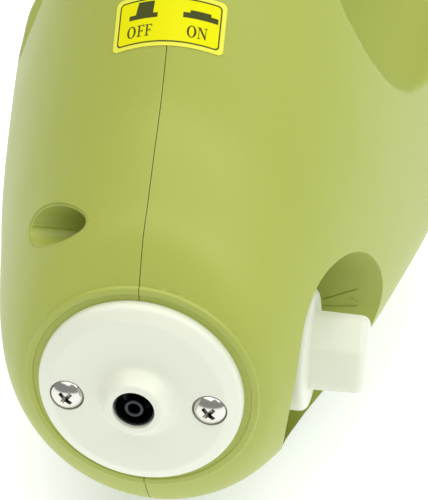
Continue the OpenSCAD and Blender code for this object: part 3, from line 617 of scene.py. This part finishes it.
def screw_set(name, seats, length, node, body="body", size=1.0):
    """A set of like screws as one piece; each seat is (point, axis)."""
    mesh = bpy.data.meshes.new(name)
    mesh.from_pydata([at(*p) for p, _ in seats], [], [])
    mesh.attributes.new("axis", "FLOAT_VECTOR", "POINT").data.foreach_set(
        "vector", [c for _, a in seats for c in Vector(a).normalized()])
    piece = bpy.data.objects.new(name, mesh)
    bpy.context.scene.collection.objects.link(piece)
    screw = cross_screw(name + "_one", length)
    run_tree(piece, SCREWS_ON_SEATS, screw=screw, head_size=size, plating=nickel)
    bpy.data.objects.remove(screw)
    return finish_piece(piece, body, "nickel_screws", nickel, node, angle=32)


screw_set("clamshell_screws", [((-RECESS_FLOOR, y, z), (-1, 0, 0)) for y, z in SHELL_SCREWS],
          RECESS_FLOOR + 10, "shell_screws")
screw_set("plate_screws", [((s * PLATE_SCREW_X, PLATE_SEAT, PLATE_SCREW_Z), (0, -1, 0)) for s in (-1, 1)],
          12, "tail_plate_screws")

# ---------- charge socket ----------
# A black nylon barrel socket pushed through the plate's boss, with a hollow
# spring pin in its middle. Its mouth stands just inside the boss.

# Nylon, black, from a polished mould: glossy.
black_nylon = moulded_plastic("black_polished_nylon", "#0b0d0e", "#101314", 0.18, 0.4, 0.05)

socket = turned("charge_socket_barrel",
                rounded([(3.3, -BOSS_OUT + 0.8, 0.1), (SOCKET_R - 0.05, -BOSS_OUT + 0.8, 0.1),
                         (SOCKET_R - 0.05, 3.2, 0), (6, 3.2, 0), (6, 14, 0), (0, 14, 0), (0, 5.5, 0),
                         (1.75, 5.5, 0), (1.75, -1.5, 0), (3.3, -1.5, 0.2)]),
                facing((0, 1, 0), (0, 0, 0)), 96)
finish_piece(socket, "body", "black_plastic", black_nylon, "charge_socket")

# Copper alloy with nickel plate: dull grey, its base colour darkened as painted shade for the shadow deep in
# the socket.
pin_metal, pin_tree, pin_shader = new_material("dark_plated_pin")
# the dark grey base colour is painted shade over the pin's real nickel grey
pin_shader.inputs["Base Color"].default_value = linear("#3a4042")
pin_shader.inputs["Metallic"].default_value = 1.0
pin_place = add(pin_tree, "ShaderNodeTexCoord").outputs["Object"]
pin_scratch = add(pin_tree, "ShaderNodeTexNoise", {"Vector": pin_place}, Scale=1 / (0.4 * MM))
pin_gloss = add(pin_tree, "ShaderNodeMapRange", {"Value": pin_scratch.outputs["Fac"]},
                To_Min=0.3, To_Max=0.45)
pin_tree.links.new(pin_gloss.outputs["Result"], pin_shader.inputs["Roughness"])
pin = turned("charge_socket_pin",
             rounded([(1.05, -2.2, 0), (1.05, -BOSS_OUT + 0.6, 0.25), (1.68, -BOSS_OUT + 0.6, 0.25),
                      (1.68, 5.3, 0), (0, 5.3, 0), (0, -2.2, 0)]),
             facing((0, 1, 0), (0, 0, 0)), 64)
finish_piece(pin, "body", "socket_metal", pin_metal, "socket_pin")

# ---------- switch label ----------
# A yellow printed film on the handle's rear slope that tells how the push
# button stands when the machine is off and on. Film 0.13 mm, print on top.

LABEL_W, LABEL_H, LABEL_LEAN = 19, 8.9, math.radians(33)
LABEL_FOOT, LABEL_X = (25.56, 52.95), -0.25
# The film wraps round the crown, so that its ends hang lower, and is stuck on a little askew
LABEL_SAG, LABEL_SKEW = 0.0167, 0.059


def barrel_level(x, y, z):
    """Below 1 inside the barrel's surface, 1 on it and above 1 outside."""
    upper = z >= 0
    n = np.where(upper, crown_power(y), 2)
    return (np.abs(x) / half_width(y)) ** n + (np.abs(z) / np.where(upper, top(y), bottom(y))) ** n


def on_label(u, v, height):
    """Points of the film, u across and v up it in mm, as points of the slope raised by a height."""
    u, v = np.array(u, float), np.array(v, float)
    v = v + LABEL_SKEW * u - LABEL_SAG * u * u
    u = u + LABEL_X
    rise = np.array([0, math.sin(LABEL_LEAN), math.cos(LABEL_LEAN)])
    out = np.array([0, -math.cos(LABEL_LEAN), math.sin(LABEL_LEAN)])
    foot = np.stack([u, np.full(len(u), LABEL_FOOT[0]), np.full(len(u), LABEL_FOOT[1])], 1)
    foot = foot + v[:, None] * rise
    near, far = np.full(len(u), -14.0), np.full(len(u), 6.0)
    for _ in range(40):
        middle = (near + far) / 2
        p = foot + middle[:, None] * out
        inside_it = barrel_level(*p.T) < 1
        near, far = np.where(inside_it, middle, near), np.where(inside_it, far, middle)
    return foot + (near + height)[:, None] * out


def print_on_label(name, flat, height, thickness):
    """Bends a flat mesh (label mm) onto the slope and gives it a thickness."""
    work = bmesh.new()
    work.from_mesh(flat)
    for _ in range(4):
        long = [e for e in work.edges if e.calc_length() > 0.7]
        if long:
            bmesh.ops.subdivide_edges(work, edges=long, cuts=1)
            bmesh.ops.triangulate(work, faces=work.faces)
    points = np.array([v.co for v in work.verts])
    for vert, p in zip(work.verts, on_label(points[:, 0], points[:, 1], height)):
        vert.co = at(*p)
    work.normal_update()
    if sum(f.normal.y * f.calc_area() for f in work.faces) > 0:
        bmesh.ops.reverse_faces(work, faces=work.faces)
    mesh = bpy.data.meshes.new(name)
    work.to_mesh(mesh)
    work.free()
    piece = bpy.data.objects.new(name, mesh)
    bpy.context.scene.collection.objects.link(piece)
    thick = piece.modifiers.new("thickness", "SOLIDIFY")
    thick.thickness, thick.offset = thickness * MM, 1
    return settle(piece)


def round_box(left, low, right, high, r):
    """A rounded rectangle's outline, anticlockwise."""
    outline = []
    for cx, cy, start in ((right - r, high - r, 0), (left + r, high - r, 90),
                          (left + r, low + r, 180), (right - r, low + r, 270)):
        for k in range(9):
            a = math.radians(start + 90 * k / 8)
            outline.append((cx + r * math.cos(a), cy + r * math.sin(a)))
    return outline


def flat_shape(outline, hole=None):
    """A flat mesh of one outline, or of the band between an outline and a like one inside it."""
    mesh = bpy.data.meshes.new("flat")
    count = len(outline)
    if hole:
        mesh.from_pydata([(*p, 0) for p in outline + hole], [],
                         [(i, (i + 1) % count, count + (i + 1) % count, count + i) for i in range(count)])
    else:
        mesh.from_pydata([(*p, 0) for p in outline], [], [tuple(range(count))])
    return mesh


# Upright letters with small feet, in a box one wide and one high
SERIF_F = [(0, 0), (0.62, 0), (0.62, 0.05), (0.42, 0.08), (0.42, 0.46), (0.68, 0.46), (0.74, 0.36),
           (0.79, 0.36), (0.79, 0.64), (0.74, 0.64), (0.68, 0.54), (0.42, 0.54), (0.42, 0.93),
           (0.82, 0.93), (0.93, 0.78), (1, 0.78), (0.97, 1), (0, 1), (0, 0.95), (0.2, 0.92),
           (0.2, 0.08), (0, 0.05)]
SERIF_N = [(0, 1), (0.3, 1), (0.8, 0.3), (0.8, 0.92), (0.64, 0.95), (0.64, 1), (1, 1), (1, 0.95),
           (0.87, 0.92), (0.87, -0.02), (0.8, -0.02), (0.2, 0.82), (0.2, 0.08), (0.36, 0.05),
           (0.36, 0), (0, 0), (0, 0.05), (0.13, 0.08), (0.13, 0.9), (0, 0.95)]


def letter(sign, left, low, wide, high):
    """A letter O, F or N as a flat mesh that fills a box."""
    if sign != "O":
        return flat_shape([(left + x * wide, low + y * high) for x, y in {"F": SERIF_F, "N": SERIF_N}[sign]])
    rings = [[(left + wide / 2 * (1 + fat * math.cos(t)), low + high / 2 * (1 + tall * math.sin(t)))
              for t in np.arange(32) * math.pi / 16] for fat, tall in ((1, 1), (0.55, 0.86))]
    return flat_shape(*rings)


def film(name, colour, shade):
    """A glossy printed polyester film: strong flat colour with a thin lacquer."""
    material, tree, shader = new_material(name)
    place = add(tree, "ShaderNodeTexCoord").outputs["Object"]
    patch = add(tree, "ShaderNodeTexNoise", {"Vector": place}, Scale=1 / (9 * MM))
    mix = add(tree, "ShaderNodeMix", data_type="RGBA")
    mix.inputs["A"].default_value, mix.inputs["B"].default_value = linear(colour), linear(shade)
    tree.links.new(patch.outputs["Fac"], mix.inputs["Factor"])
    tree.links.new(mix.outputs["Result"], shader.inputs["Base Color"])
    shader.inputs["Roughness"].default_value = 0.28
    shader.inputs["Specular IOR Level"].default_value = 0.25
    return material


# The dark line's outer and inner edges, and the bright field's edge, in from the film's edge
LINE_OUT, LINE_IN, FIELD_IN = 0.68, 0.9, 0.78


def label_box(inset, r):
    """The label's rounded outline, drawn in by inset."""
    half = LABEL_W / 2
    return round_box(-half + inset, inset, half - inset, LABEL_H - inset, r)


# Printed polyester, gloss: strong flat colours, paler at the bare edge, and a dark olive print.
yellow_film = film("yellow_polyester_film", "#e6e300", "#e2df00")
pale_film = film("pale_yellow_film_edge", "#e8e654", "#e4e24c")
dark_print = film("dark_olive_screen_print", "#4a4f22", "#3f4420")
label = print_on_label("switch_label_film", flat_shape(label_box(0, 0.9)), 0.02, 0.11)
finish_piece(label, "body", "label_film", pale_film, "label")
field = print_on_label("switch_label_field", flat_shape(label_box(FIELD_IN, 0.6)), 0.13, 0.02)
finish_piece(field, "body", "label_film", yellow_film)
print_shapes = [
    flat_shape(label_box(LINE_OUT, 0.7), label_box(LINE_IN, 0.55)),
    # the button standing up, over OFF, and pressed in, over ON
    flat_shape([(-6.95, 4.9), (-1.9, 4.9), (-1.9, 5.7), (-2.75, 5.7), (-2.6, 7.75),
                (-5.45, 7.75), (-5.85, 5.7), (-6.95, 5.7)]),
    flat_shape([(2.5, 5.0), (8.3, 5.0), (8.3, 5.9), (7.1, 5.9), (7.1, 6.35),
                (3.65, 6.35), (3.65, 5.9), (2.5, 5.9)]),
    letter("O", -7.1, 1.8, 1.55, 2.05), letter("F", -5.35, 1.85, 1.3, 1.95),
    letter("F", -3.95, 1.85, 1.3, 1.95),
    letter("O", 3.35, 1.75, 1.6, 2.05), letter("N", 5.1, 1.8, 1.65, 1.95)]
for k, shape in enumerate(print_shapes):
    finish_piece(print_on_label(f"switch_label_print_{k + 1}", shape, 0.145, 0.02),
                 "body", "label_film", dark_print)

# ---------- push button ----------
# A latching cap of white ABS in a snap-in bezel on the rear slope, with a
# dished top for the thumb. It stands 5.2 mm out and goes in 3 mm.

cap = turned("push_button_cap",
             rounded([(0, -2, 0), (0, 4.3, 0), (4.5, 4.55, 3), (BUTTON_R - 0.9, 5.2, 0.8),
                      (BUTTON_R, 4.2, 0.9), (BUTTON_R, -3, 0.2), (3.2, -3, 0), (3.2, -2, 0)]), on_slope())
finish_piece(cap, "button", "white_trim", white_abs, "push_button")
bezel = turned("push_button_bezel",
               rounded([(BUTTON_R + 0.07, -2.2, 0), (BUTTON_R + 0.55, -2.2, 0), (BUTTON_R + 0.55, 1.2, 0),
                        (BUTTON_R + 3, 1.2, 0.2), (BUTTON_R + 3, 1.9, 0.5), (BUTTON_R + 1.4, 2.5, 0.6),
                        (BUTTON_R + 0.07, 2.2, 0.3)]), on_slope())
finish_piece(bezel, "body", "white_trim", white_abs, "button_bezel")

# ---------- side knob ----------
# A selector knob of white ABS: a thick flange with a kite-shaped finger bar,
# pushed on a steel shaft in the round pocket of the right shell.

FLANGE_R, FLANGE_T, BAR_FOOT, BAR_LEN, BAR_LEAN = 11.2, 4.1, 4, 10.5, math.radians(34)
BAR_EASE = 1.7
knob_place = facing((1, 0, 0), (POCKET_X + 0.6, KNOB_Y, KNOB_Z))
knob = turned("knob_flange",
              rounded([(0, 0, 0), (FLANGE_R - 0.4, 0, 0.3), (FLANGE_R, 0.5, 0.3),
                       (FLANGE_R, FLANGE_T, 1.6), (0, FLANGE_T, 0)]), knob_place, 160)
carve(knob, rod("nut_space", 6.6, facing((1, 0, 0), (POCKET_X, KNOB_Y, KNOB_Z)), 3.4))
kite = rounded([(-7, -1.5, 0.6), (-6, -2.6, 1.4), (0, -4.1, 2.4), (6, -2.6, 1.4), (7, -1.5, 0.6),
                (7, 1.5, 0.6), (6, 2.6, 1.4), (0, 4.1, 2.4), (-6, 2.6, 1.4), (-7, 1.5, 0.6)])
kite_place = (Matrix.Translation(at(POCKET_X + BAR_FOOT, KNOB_Y, KNOB_Z)) @ Matrix.Rotation(-BAR_LEAN, 4, "X")
              @ Matrix.Rotation(math.pi / 2, 4, "Y"))
bar_rings = []
for k in range(9):
    a = math.radians(90 * k / 8)
    draw_in, h = BAR_EASE * (1 - math.cos(a)), BAR_LEN - BAR_EASE + BAR_EASE * math.sin(a)
    bar_rings.append([(x * (1 - draw_in / 7), y * (1 - draw_in / 5), h) for x, y in kite])
bar = loft("finger_bar", [[(x * 1.02, y * 1.03, 0) for x, y in kite]] + bar_rings, kite_place)
carve(knob, bar, how="UNION")
carve(knob, rod("knob_bore", 3, facing((1, 0, 0), (POCKET_X, KNOB_Y, KNOB_Z)), 9.2, 48))
finish_piece(knob, "selector", "white_trim", white_abs, "selector_knob")

# ---------- gear case ----------
# Two glass-filled nylon halves round the gears: a neck that sits in the
# shells' nose, a drum round the crown gear, bearing tubes, and guard lugs.

SHAFT_Y, SHAFT_Z = 212, -NOSE_DROP
NECK_R, DRUM_R, DRUM_HALF, TUBE_R, TUBE_HALF = 23.4, 26, 14.5, 12.5, 22.4
GUARD_R, GUARD_T, LUG_ANGLES, LUG_SCREW_X = 47, 2.5, (58, 122), 5
RIB_X, RIB_HALF = (-10.5, -3.5, 3.5, 10.5), 0.9
CASE_SCREWS = [(SHAFT_Y + 27 * math.cos(math.radians(a)), SHAFT_Z + 27 * math.sin(math.radians(a)))
               for a in (90, -10, -100)]

# Glass-filled nylon, black: dull, with a faint glassy mottle.
glass_nylon = moulded_plastic("glass_filled_black_nylon", "#1d1f20", "#26282a", 0.52, 0.5, 0.5)


def round_shaft(angle):
    """Local Y points out of the cross shaft at an angle above forward, local X along it."""
    return Matrix.Translation(at(0, SHAFT_Y, SHAFT_Z)) @ Matrix.Rotation(math.radians(angle), 4, "X")


def lug_screw(angle, x, r):
    """A guard screw's place: local Z points away from the cross shaft, with its foot at radius r."""
    return (round_shaft(angle) @ Matrix.Translation((x * MM, r * MM, 0))
            @ Matrix.Rotation(-math.pi / 2, 4, "X"))


case = rod("gear_case", NECK_R, facing((0, 1, 0), (0, 163.4, SHAFT_Z)), 21.6, 128)
carve(case, rod("pinion_housing", 17, facing((0, 1, 0), (0, 180, SHAFT_Z)), 20, 96),
      rod("drum", DRUM_R, facing((1, 0, 0), (-DRUM_HALF, SHAFT_Y, SHAFT_Z)), 2 * DRUM_HALF, 128),
      rod("bearing_tube", TUBE_R, facing((1, 0, 0), (-TUBE_HALF, SHAFT_Y, SHAFT_Z)), 2 * TUBE_HALF, 96),
      how="UNION")
for a in LUG_ANGLES:
    carve(case, block("guard_lug", (-10, 20, -6), (10, GUARD_R - 0.4, 6), round_shaft(a)), how="UNION")
for y, z in CASE_SCREWS:
    carve(case, rod("ear", 4.4, facing((1, 0, 0), (-DRUM_HALF, y, z)), 2 * DRUM_HALF, 48), how="UNION")
for x in RIB_X:
    # ribs from the neck to the drum stiffen the housing
    carve(case, block("case_rib", (x - RIB_HALF, 181, SHAFT_Z), (x + RIB_HALF, 200, SHAFT_Z + 23.2)),
          how="UNION")
soften(case, 0.5, 5)
carve(case, rod("neck_end", 40, facing((0, 1, 0), (0, 150, SHAFT_Z)), 13.4),
      rod("carrier_space", 6.8, facing((0, 1, 0), (0, 160, SHAFT_Z)), 10),
      rod("ring_seat", 20.45, facing((0, 1, 0), (0, 165.4, SHAFT_Z)), 12.2, 96),
      rod("bush_seat", 8.02, facing((0, 1, 0), (0, 177, SHAFT_Z)), 30, 48),
      rod("crown_space", 23, facing((1, 0, 0), (-11.5, SHAFT_Y, SHAFT_Z)), 25, 96),
      rod("bearing_bore", 9.02, facing((1, 0, 0), (-23, SHAFT_Y, SHAFT_Z)), 46, 64))
for y, z in CASE_SCREWS:
    carve(case, rod("case_screw_hole", SCREW_HOLE, facing((1, 0, 0), (-30, y, z)), 42, 24))
for a in LUG_ANGLES:
    for x in (-LUG_SCREW_X, LUG_SCREW_X):
        carve(case, rod("lug_hole", SCREW_HOLE, lug_screw(a, x, GUARD_R - 12), 14, 24))
for side, name in ((-1, "left"), (1, "right")):
    half = case.copy()
    half.data = case.data.copy()
    half.name = "gear_case_half_" + name
    bpy.context.scene.collection.objects.link(half)
    low, high = ((SEAM, 150, -60), (60, 280, 60)) if side > 0 else ((-60, 150, -60), (-SEAM, 280, 60))
    carve(half, block("case_space", low, high), how="INTERSECT")
    finish_piece(half, "body", "case_plastic", glass_nylon, "gear_case_" + name, angle=38)
bpy.data.objects.remove(case)
screw_set("gear_case_fasteners", [((-DRUM_HALF, y, z), (-1, 0, 0)) for y, z in CASE_SCREWS],
          22, "gear_case_screws", size=0.867)

# ---------- tine guard ----------
# A curved ABS hood in the shells' green, with turned-in side edges, that keeps
# soil off the hand. Four screws hold it to the lugs.

GUARD_HALF, GUARD_FLANGE, GUARD_LOW, GUARD_HIGH = 48, 6, 18, 140
# The shells' ABS from another batch, a shade deeper, with the same eroded grain.
green_guard_abs = moulded_plastic("olive_green_guard_abs", "#9ba543", "#96a03e", 0.5, 0.35, 0.6, sheen=0.12)
guard_section = rounded([(-GUARD_HALF, GUARD_R - GUARD_FLANGE, 0.6), (-GUARD_HALF, GUARD_R + GUARD_T, 2.4),
                         (GUARD_HALF, GUARD_R + GUARD_T, 2.4), (GUARD_HALF, GUARD_R - GUARD_FLANGE, 0.6),
                         (GUARD_HALF - GUARD_T, GUARD_R - GUARD_FLANGE, 0.6),
                         (GUARD_HALF - GUARD_T, GUARD_R, 1.2),
                         (GUARD_T - GUARD_HALF, GUARD_R, 1.2),
                         (GUARD_T - GUARD_HALF, GUARD_R - GUARD_FLANGE, 0.6)])
guard_rings = []
for a in np.radians(np.linspace(GUARD_LOW, GUARD_HIGH, 97)):
    guard_rings.append([(x, SHAFT_Y + r * math.cos(a), SHAFT_Z + r * math.sin(a)) for x, r in guard_section])
guard = loft("tine_guard_hood", guard_rings)
edges = guard.modifiers.new("eased_edges", "BEVEL")
edges.width, edges.segments, edges.angle_limit = 0.5 * MM, 3, math.radians(50)
settle(guard)
for a in LUG_ANGLES:
    for x in (-LUG_SCREW_X, LUG_SCREW_X):
        carve(guard, rod("guard_hole", SCREW_HOLE + 0.2, lug_screw(a, x, GUARD_R - 6), 14, 24))
finish_piece(guard, "body", "green_guard", green_guard_abs, "tine_guard")
guard_seats = []
for a in LUG_ANGLES:
    c, s = math.cos(math.radians(a)), math.sin(math.radians(a))
    guard_seats += [((x, SHAFT_Y + (GUARD_R + GUARD_T) * c, SHAFT_Z + (GUARD_R + GUARD_T) * s), (0, c, s))
                    for x in (-LUG_SCREW_X, LUG_SCREW_X)]
screw_set("guard_fasteners", guard_seats, 10, "guard_screws")

# ---------- tine wheels ----------
# Four wheels stamped from 3 mm spring steel, each with four back-swept teeth
# and a welded hub with a hexagon bore. Dark powder coat, worn bright at the edges.

HUB_X, HUB_W, BLADE_T, TINE_R, SHAFT_R, TURNS = (-44, -29, 23, 38), 6, 3, 42, 5, (0, 45, 45, 0)


def metal(name, colour, dull, bright, grain):
    """A metal whose gloss varies in patches `grain` mm across, with fine wear marks."""
    material, tree, shader = new_material(name)
    place = add(tree, "ShaderNodeTexCoord").outputs["Object"]
    wear = add(tree, "ShaderNodeTexNoise", {"Vector": place}, Scale=1 / (grain * MM), Detail=4.0)
    gloss = add(tree, "ShaderNodeMapRange", {"Value": wear.outputs["Fac"]}, To_Min=bright, To_Max=dull)
    tree.links.new(gloss.outputs["Result"], shader.inputs["Roughness"])
    bump = add(tree, "ShaderNodeBump", {"Height": wear.outputs["Fac"]}, Strength=0.15, Distance=0.03 * MM)
    tree.links.new(bump.outputs["Normal"], shader.inputs["Normal"])
    shader.inputs["Base Color"].default_value = linear(colour)
    shader.inputs["Metallic"].default_value = 1.0
    return material


# Epoxy powder coat over steel: charcoal, slightly orange-peeled, scuffed towards bare steel.
powder_coat, coat_tree, coat_shader = new_material("charcoal_powder_coat")
coat_place = add(coat_tree, "ShaderNodeTexCoord").outputs["Object"]
peel = add(coat_tree, "ShaderNodeTexNoise", {"Vector": coat_place}, Scale=1 / (0.9 * MM), Detail=2.0)
peel_bump = add(coat_tree, "ShaderNodeBump", {"Height": peel.outputs["Fac"]},
                Strength=0.3, Distance=0.06 * MM)
coat_tree.links.new(peel_bump.outputs["Normal"], coat_shader.inputs["Normal"])
scuffs = add(coat_tree, "ShaderNodeTexNoise", {"Vector": coat_place}, Scale=1 / (3.5 * MM), Detail=5.0)
scuff_edge = add(coat_tree, "ShaderNodeMapRange", {"Value": scuffs.outputs["Fac"]},
                 From_Min=0.62, From_Max=0.7)
coat_colour = add(coat_tree, "ShaderNodeMix", {"Factor": scuff_edge.outputs["Result"]}, data_type="RGBA")
coat_colour.inputs["A"].default_value = linear("#2b2e2f")
coat_colour.inputs["B"].default_value = linear("#4b4f50")
coat_tree.links.new(coat_colour.outputs["Result"], coat_shader.inputs["Base Color"])
coat_shader.inputs["Roughness"].default_value = 0.38


def tooth_edge(t, side):
    """A point on one side of a digging tooth, t from its root to its tip, in the wheel's plane."""
    r, a = 8 + (TINE_R - 8) * t, math.radians(-34 * t * t)
    w, lean = side * (5.2 - 4.4 * t ** 3) * (0.04 if t > 0.99 else 1), math.radians(12 * t)
    return r * math.cos(a) - w * math.sin(a - lean), r * math.sin(a) + w * math.cos(a - lean)


def star_outline(turn):
    """The blade's whole outline: four swept teeth joined by arcs of the hub."""
    outline = []
    hub = 10.5
    for k in range(4):
        spin = Matrix.Rotation(math.radians(90 * k + turn), 2)
        out = [tooth_edge(t, -1) for t in np.linspace(0, 1, 30)]
        home = [tooth_edge(t, 1) for t in np.linspace(1, 0, 30)]
        tooth = [p for p in out + home if math.hypot(*p) > hub]
        outline += [tuple(spin @ Vector(p)) for p in tooth]
        start = math.atan2(tooth[-1][1], tooth[-1][0])
        end = math.atan2(tooth[0][1], tooth[0][0]) + math.pi / 2
        for j in range(1, 6):
            a = start + (end - start) * j / 6
            outline.append(tuple(spin @ Vector((hub * math.cos(a), hub * math.sin(a)))))
    return outline


for k, (x, turn) in enumerate(zip(HUB_X, TURNS)):
    wheel_place = facing((1, 0, 0), (x, SHAFT_Y, SHAFT_Z)) @ Matrix.Rotation(math.pi / 2, 4, "Z")
    star = star_outline(turn + 34 - 90)
    low = (HUB_W - BLADE_T) / 2
    wheel = loft(f"tine_wheel_blades_{k + 1}",
                 [[(*p, low) for p in star], [(*p, low + BLADE_T) for p in star]], wheel_place)
    edges = wheel.modifiers.new("worn_edges", "BEVEL")
    edges.width, edges.segments, edges.angle_limit = 0.55 * MM, 3, math.radians(55)
    settle(wheel)
    hub = turned("hub", rounded([(2, 0, 0), (8.5, 0, 0.5), (8.5, low - 0.3, 0.2), (9.3, low + 0.02, 0.1),
                                 (9.3, low + BLADE_T - 0.02, 0.1), (8.5, low + BLADE_T + 0.3, 0.2),
                                 (8.5, HUB_W, 0.5), (2, HUB_W, 0)]), wheel_place, 96)
    carve(wheel, hub, how="UNION")
    a = np.arange(6) * math.pi / 3
    hexagon = np.stack([SHAFT_R * 1.004 * np.cos(a), SHAFT_R * 1.004 * np.sin(a), np.full(6, -1)], 1)
    carve(wheel, loft("hex_bore", [hexagon, hexagon + [0, 0, HUB_W + 2]],
                      facing((1, 0, 0), (x, SHAFT_Y, SHAFT_Z))))
    finish_piece(wheel, "tine_rotor", "tine_steel", powder_coat, f"tine_wheel_{k + 1}")

# ---------- rest foot ----------
# A moulded rubber foot under the belly, on which the machine stands together
# with the tine tips. Its sides lean in and its lower edge is eased.

# Natural rubber, black: dull, with a dusty bloom.
rubber = moulded_plastic("black_moulded_rubber", "#171716", "#232322", 0.75, 1.2, 0.6, 0.3)
FOOT_Y, FOOT_X, FOOT_HALF, AXIS_H = 72, 11, 16, 45


def foot_ring(half_x, half_y, r, z):
    """A rounded rectangle round the foot's middle at a height."""
    return [(x, FOOT_Y + y, z) for x, y in round_box(-half_x - r, -half_y - r, half_x + r, half_y + r, r)]


foot = loft("rest_foot_block", [foot_ring(FOOT_X - 0.5, FOOT_HALF - 0.5, 5.0, -AXIS_H),
                                foot_ring(FOOT_X, FOOT_HALF, 5.4, 0.6 - AXIS_H),
                                foot_ring(FOOT_X, FOOT_HALF, 5.8, 2 - AXIS_H),
                                foot_ring(8.6, 12.6, 4.4, -33),
                                foot_ring(8.2, 12.2, 4.0, -30)])
carve(foot, body_solid("foot_seat", -0.4, 45, 100, 1.5, 120))
finish_piece(foot, "body", "seal_rubber", rubber, "rest_foot")

# ---------- parts kept as designed ----------
# The cross shaft, spacers, clips, gears, motor, cells, board and switches keep
# the shape that the design gives them, and get the finish of the real part.

# Ground steel is bright, zinc plate and nickel strip are softer, sintered bronze
# is dull and fine-grained, and enamelled wire is a glossy brown.
steel = metal("turned_shaft_steel", "#a9a9a6", 0.38, 0.22, 2.0)
zinc = metal("zinc_plated_motor_steel", "#9a9b9a", 0.45, 0.28, 4.0)
nickel_strip = metal("rolled_nickel_strip", "#b8b4a8", 0.4, 0.25, 3.0)
bronze = metal("sintered_bronze", "#9c7a45", 0.55, 0.4, 0.6)
copper = metal("enamelled_copper_winding", "#9a5a30", 0.35, 0.2, 0.8)
pin_brass = metal("tinned_brass_terminals", "#b7ab86", 0.4, 0.25, 1.0)
# Ferrite is dull and nearly black, natural nylon cream and waxy, shrink sleeve
# and solder mask glossy, and the other plastics satin.
ferrite = moulded_plastic("sintered_ferrite", "#2a2a2c", "#333335", 0.7, 0.4, 0.4)
natural_nylon = moulded_plastic("natural_nylon", "#d8d2bb", "#cec7ad", 0.45, 0.6, 0.15)
dark_abs = moulded_plastic("black_moulded_abs", "#17181a", "#1f2123", 0.45, 0.4, 0.3)
blue_sleeve = moulded_plastic("blue_shrink_sleeve", "#2f6a9e", "#295f90", 0.25, 2.0, 0.1)
green_laminate = moulded_plastic("green_solder_mask", "#14502c", "#104626", 0.3, 1.5, 0.1)
grey_parts = moulded_plastic("grey_component_cases", "#3c3e42", "#4a4c50", 0.4, 0.8, 0.2)
white_switch = moulded_plastic("white_switch_plunger", "#dcdcd6", "#d2d2cc", 0.35, 0.5, 0.1)

FINISHES = {
    steel: ["tine_shaft", "shaft_clips", "motor_shaft", "selector_shaft", "sun_gear", "drive_pinion",
            "planet_carrier", "crown_gear"],
    nickel: ["selector_nut"],
    zinc: ["motor_case"],
    nickel_strip: ["cell_links"],
    bronze: ["carrier_bush", "shaft_bush_left", "shaft_bush_right"],
    copper: ["motor_rotor"],
    pin_brass: ["socket_terminals"],
    ferrite: ["motor_magnets"],
    natural_nylon: ["ring_gear", "planet_gear_1", "planet_gear_2", "planet_gear_3"],
    white_abs: ["wheel_spacers"],
    dark_abs: ["latch_switch", "selector_switch", "motor_end_cap", "cell_holder_rear", "cell_holder_front"],
    blue_sleeve: ["cell_left", "cell_right", "cell_top"],
    green_laminate: ["control_board"],
    grey_parts: ["board_parts"],
    white_switch: ["switch_plunger"],
    rubber: ["shaft_seal_left", "shaft_seal_right"],
}
for material, nodes in FINISHES.items():
    for name in nodes:
        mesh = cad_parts[name].data
        mesh.materials.clear()
        mesh.materials.append(material)
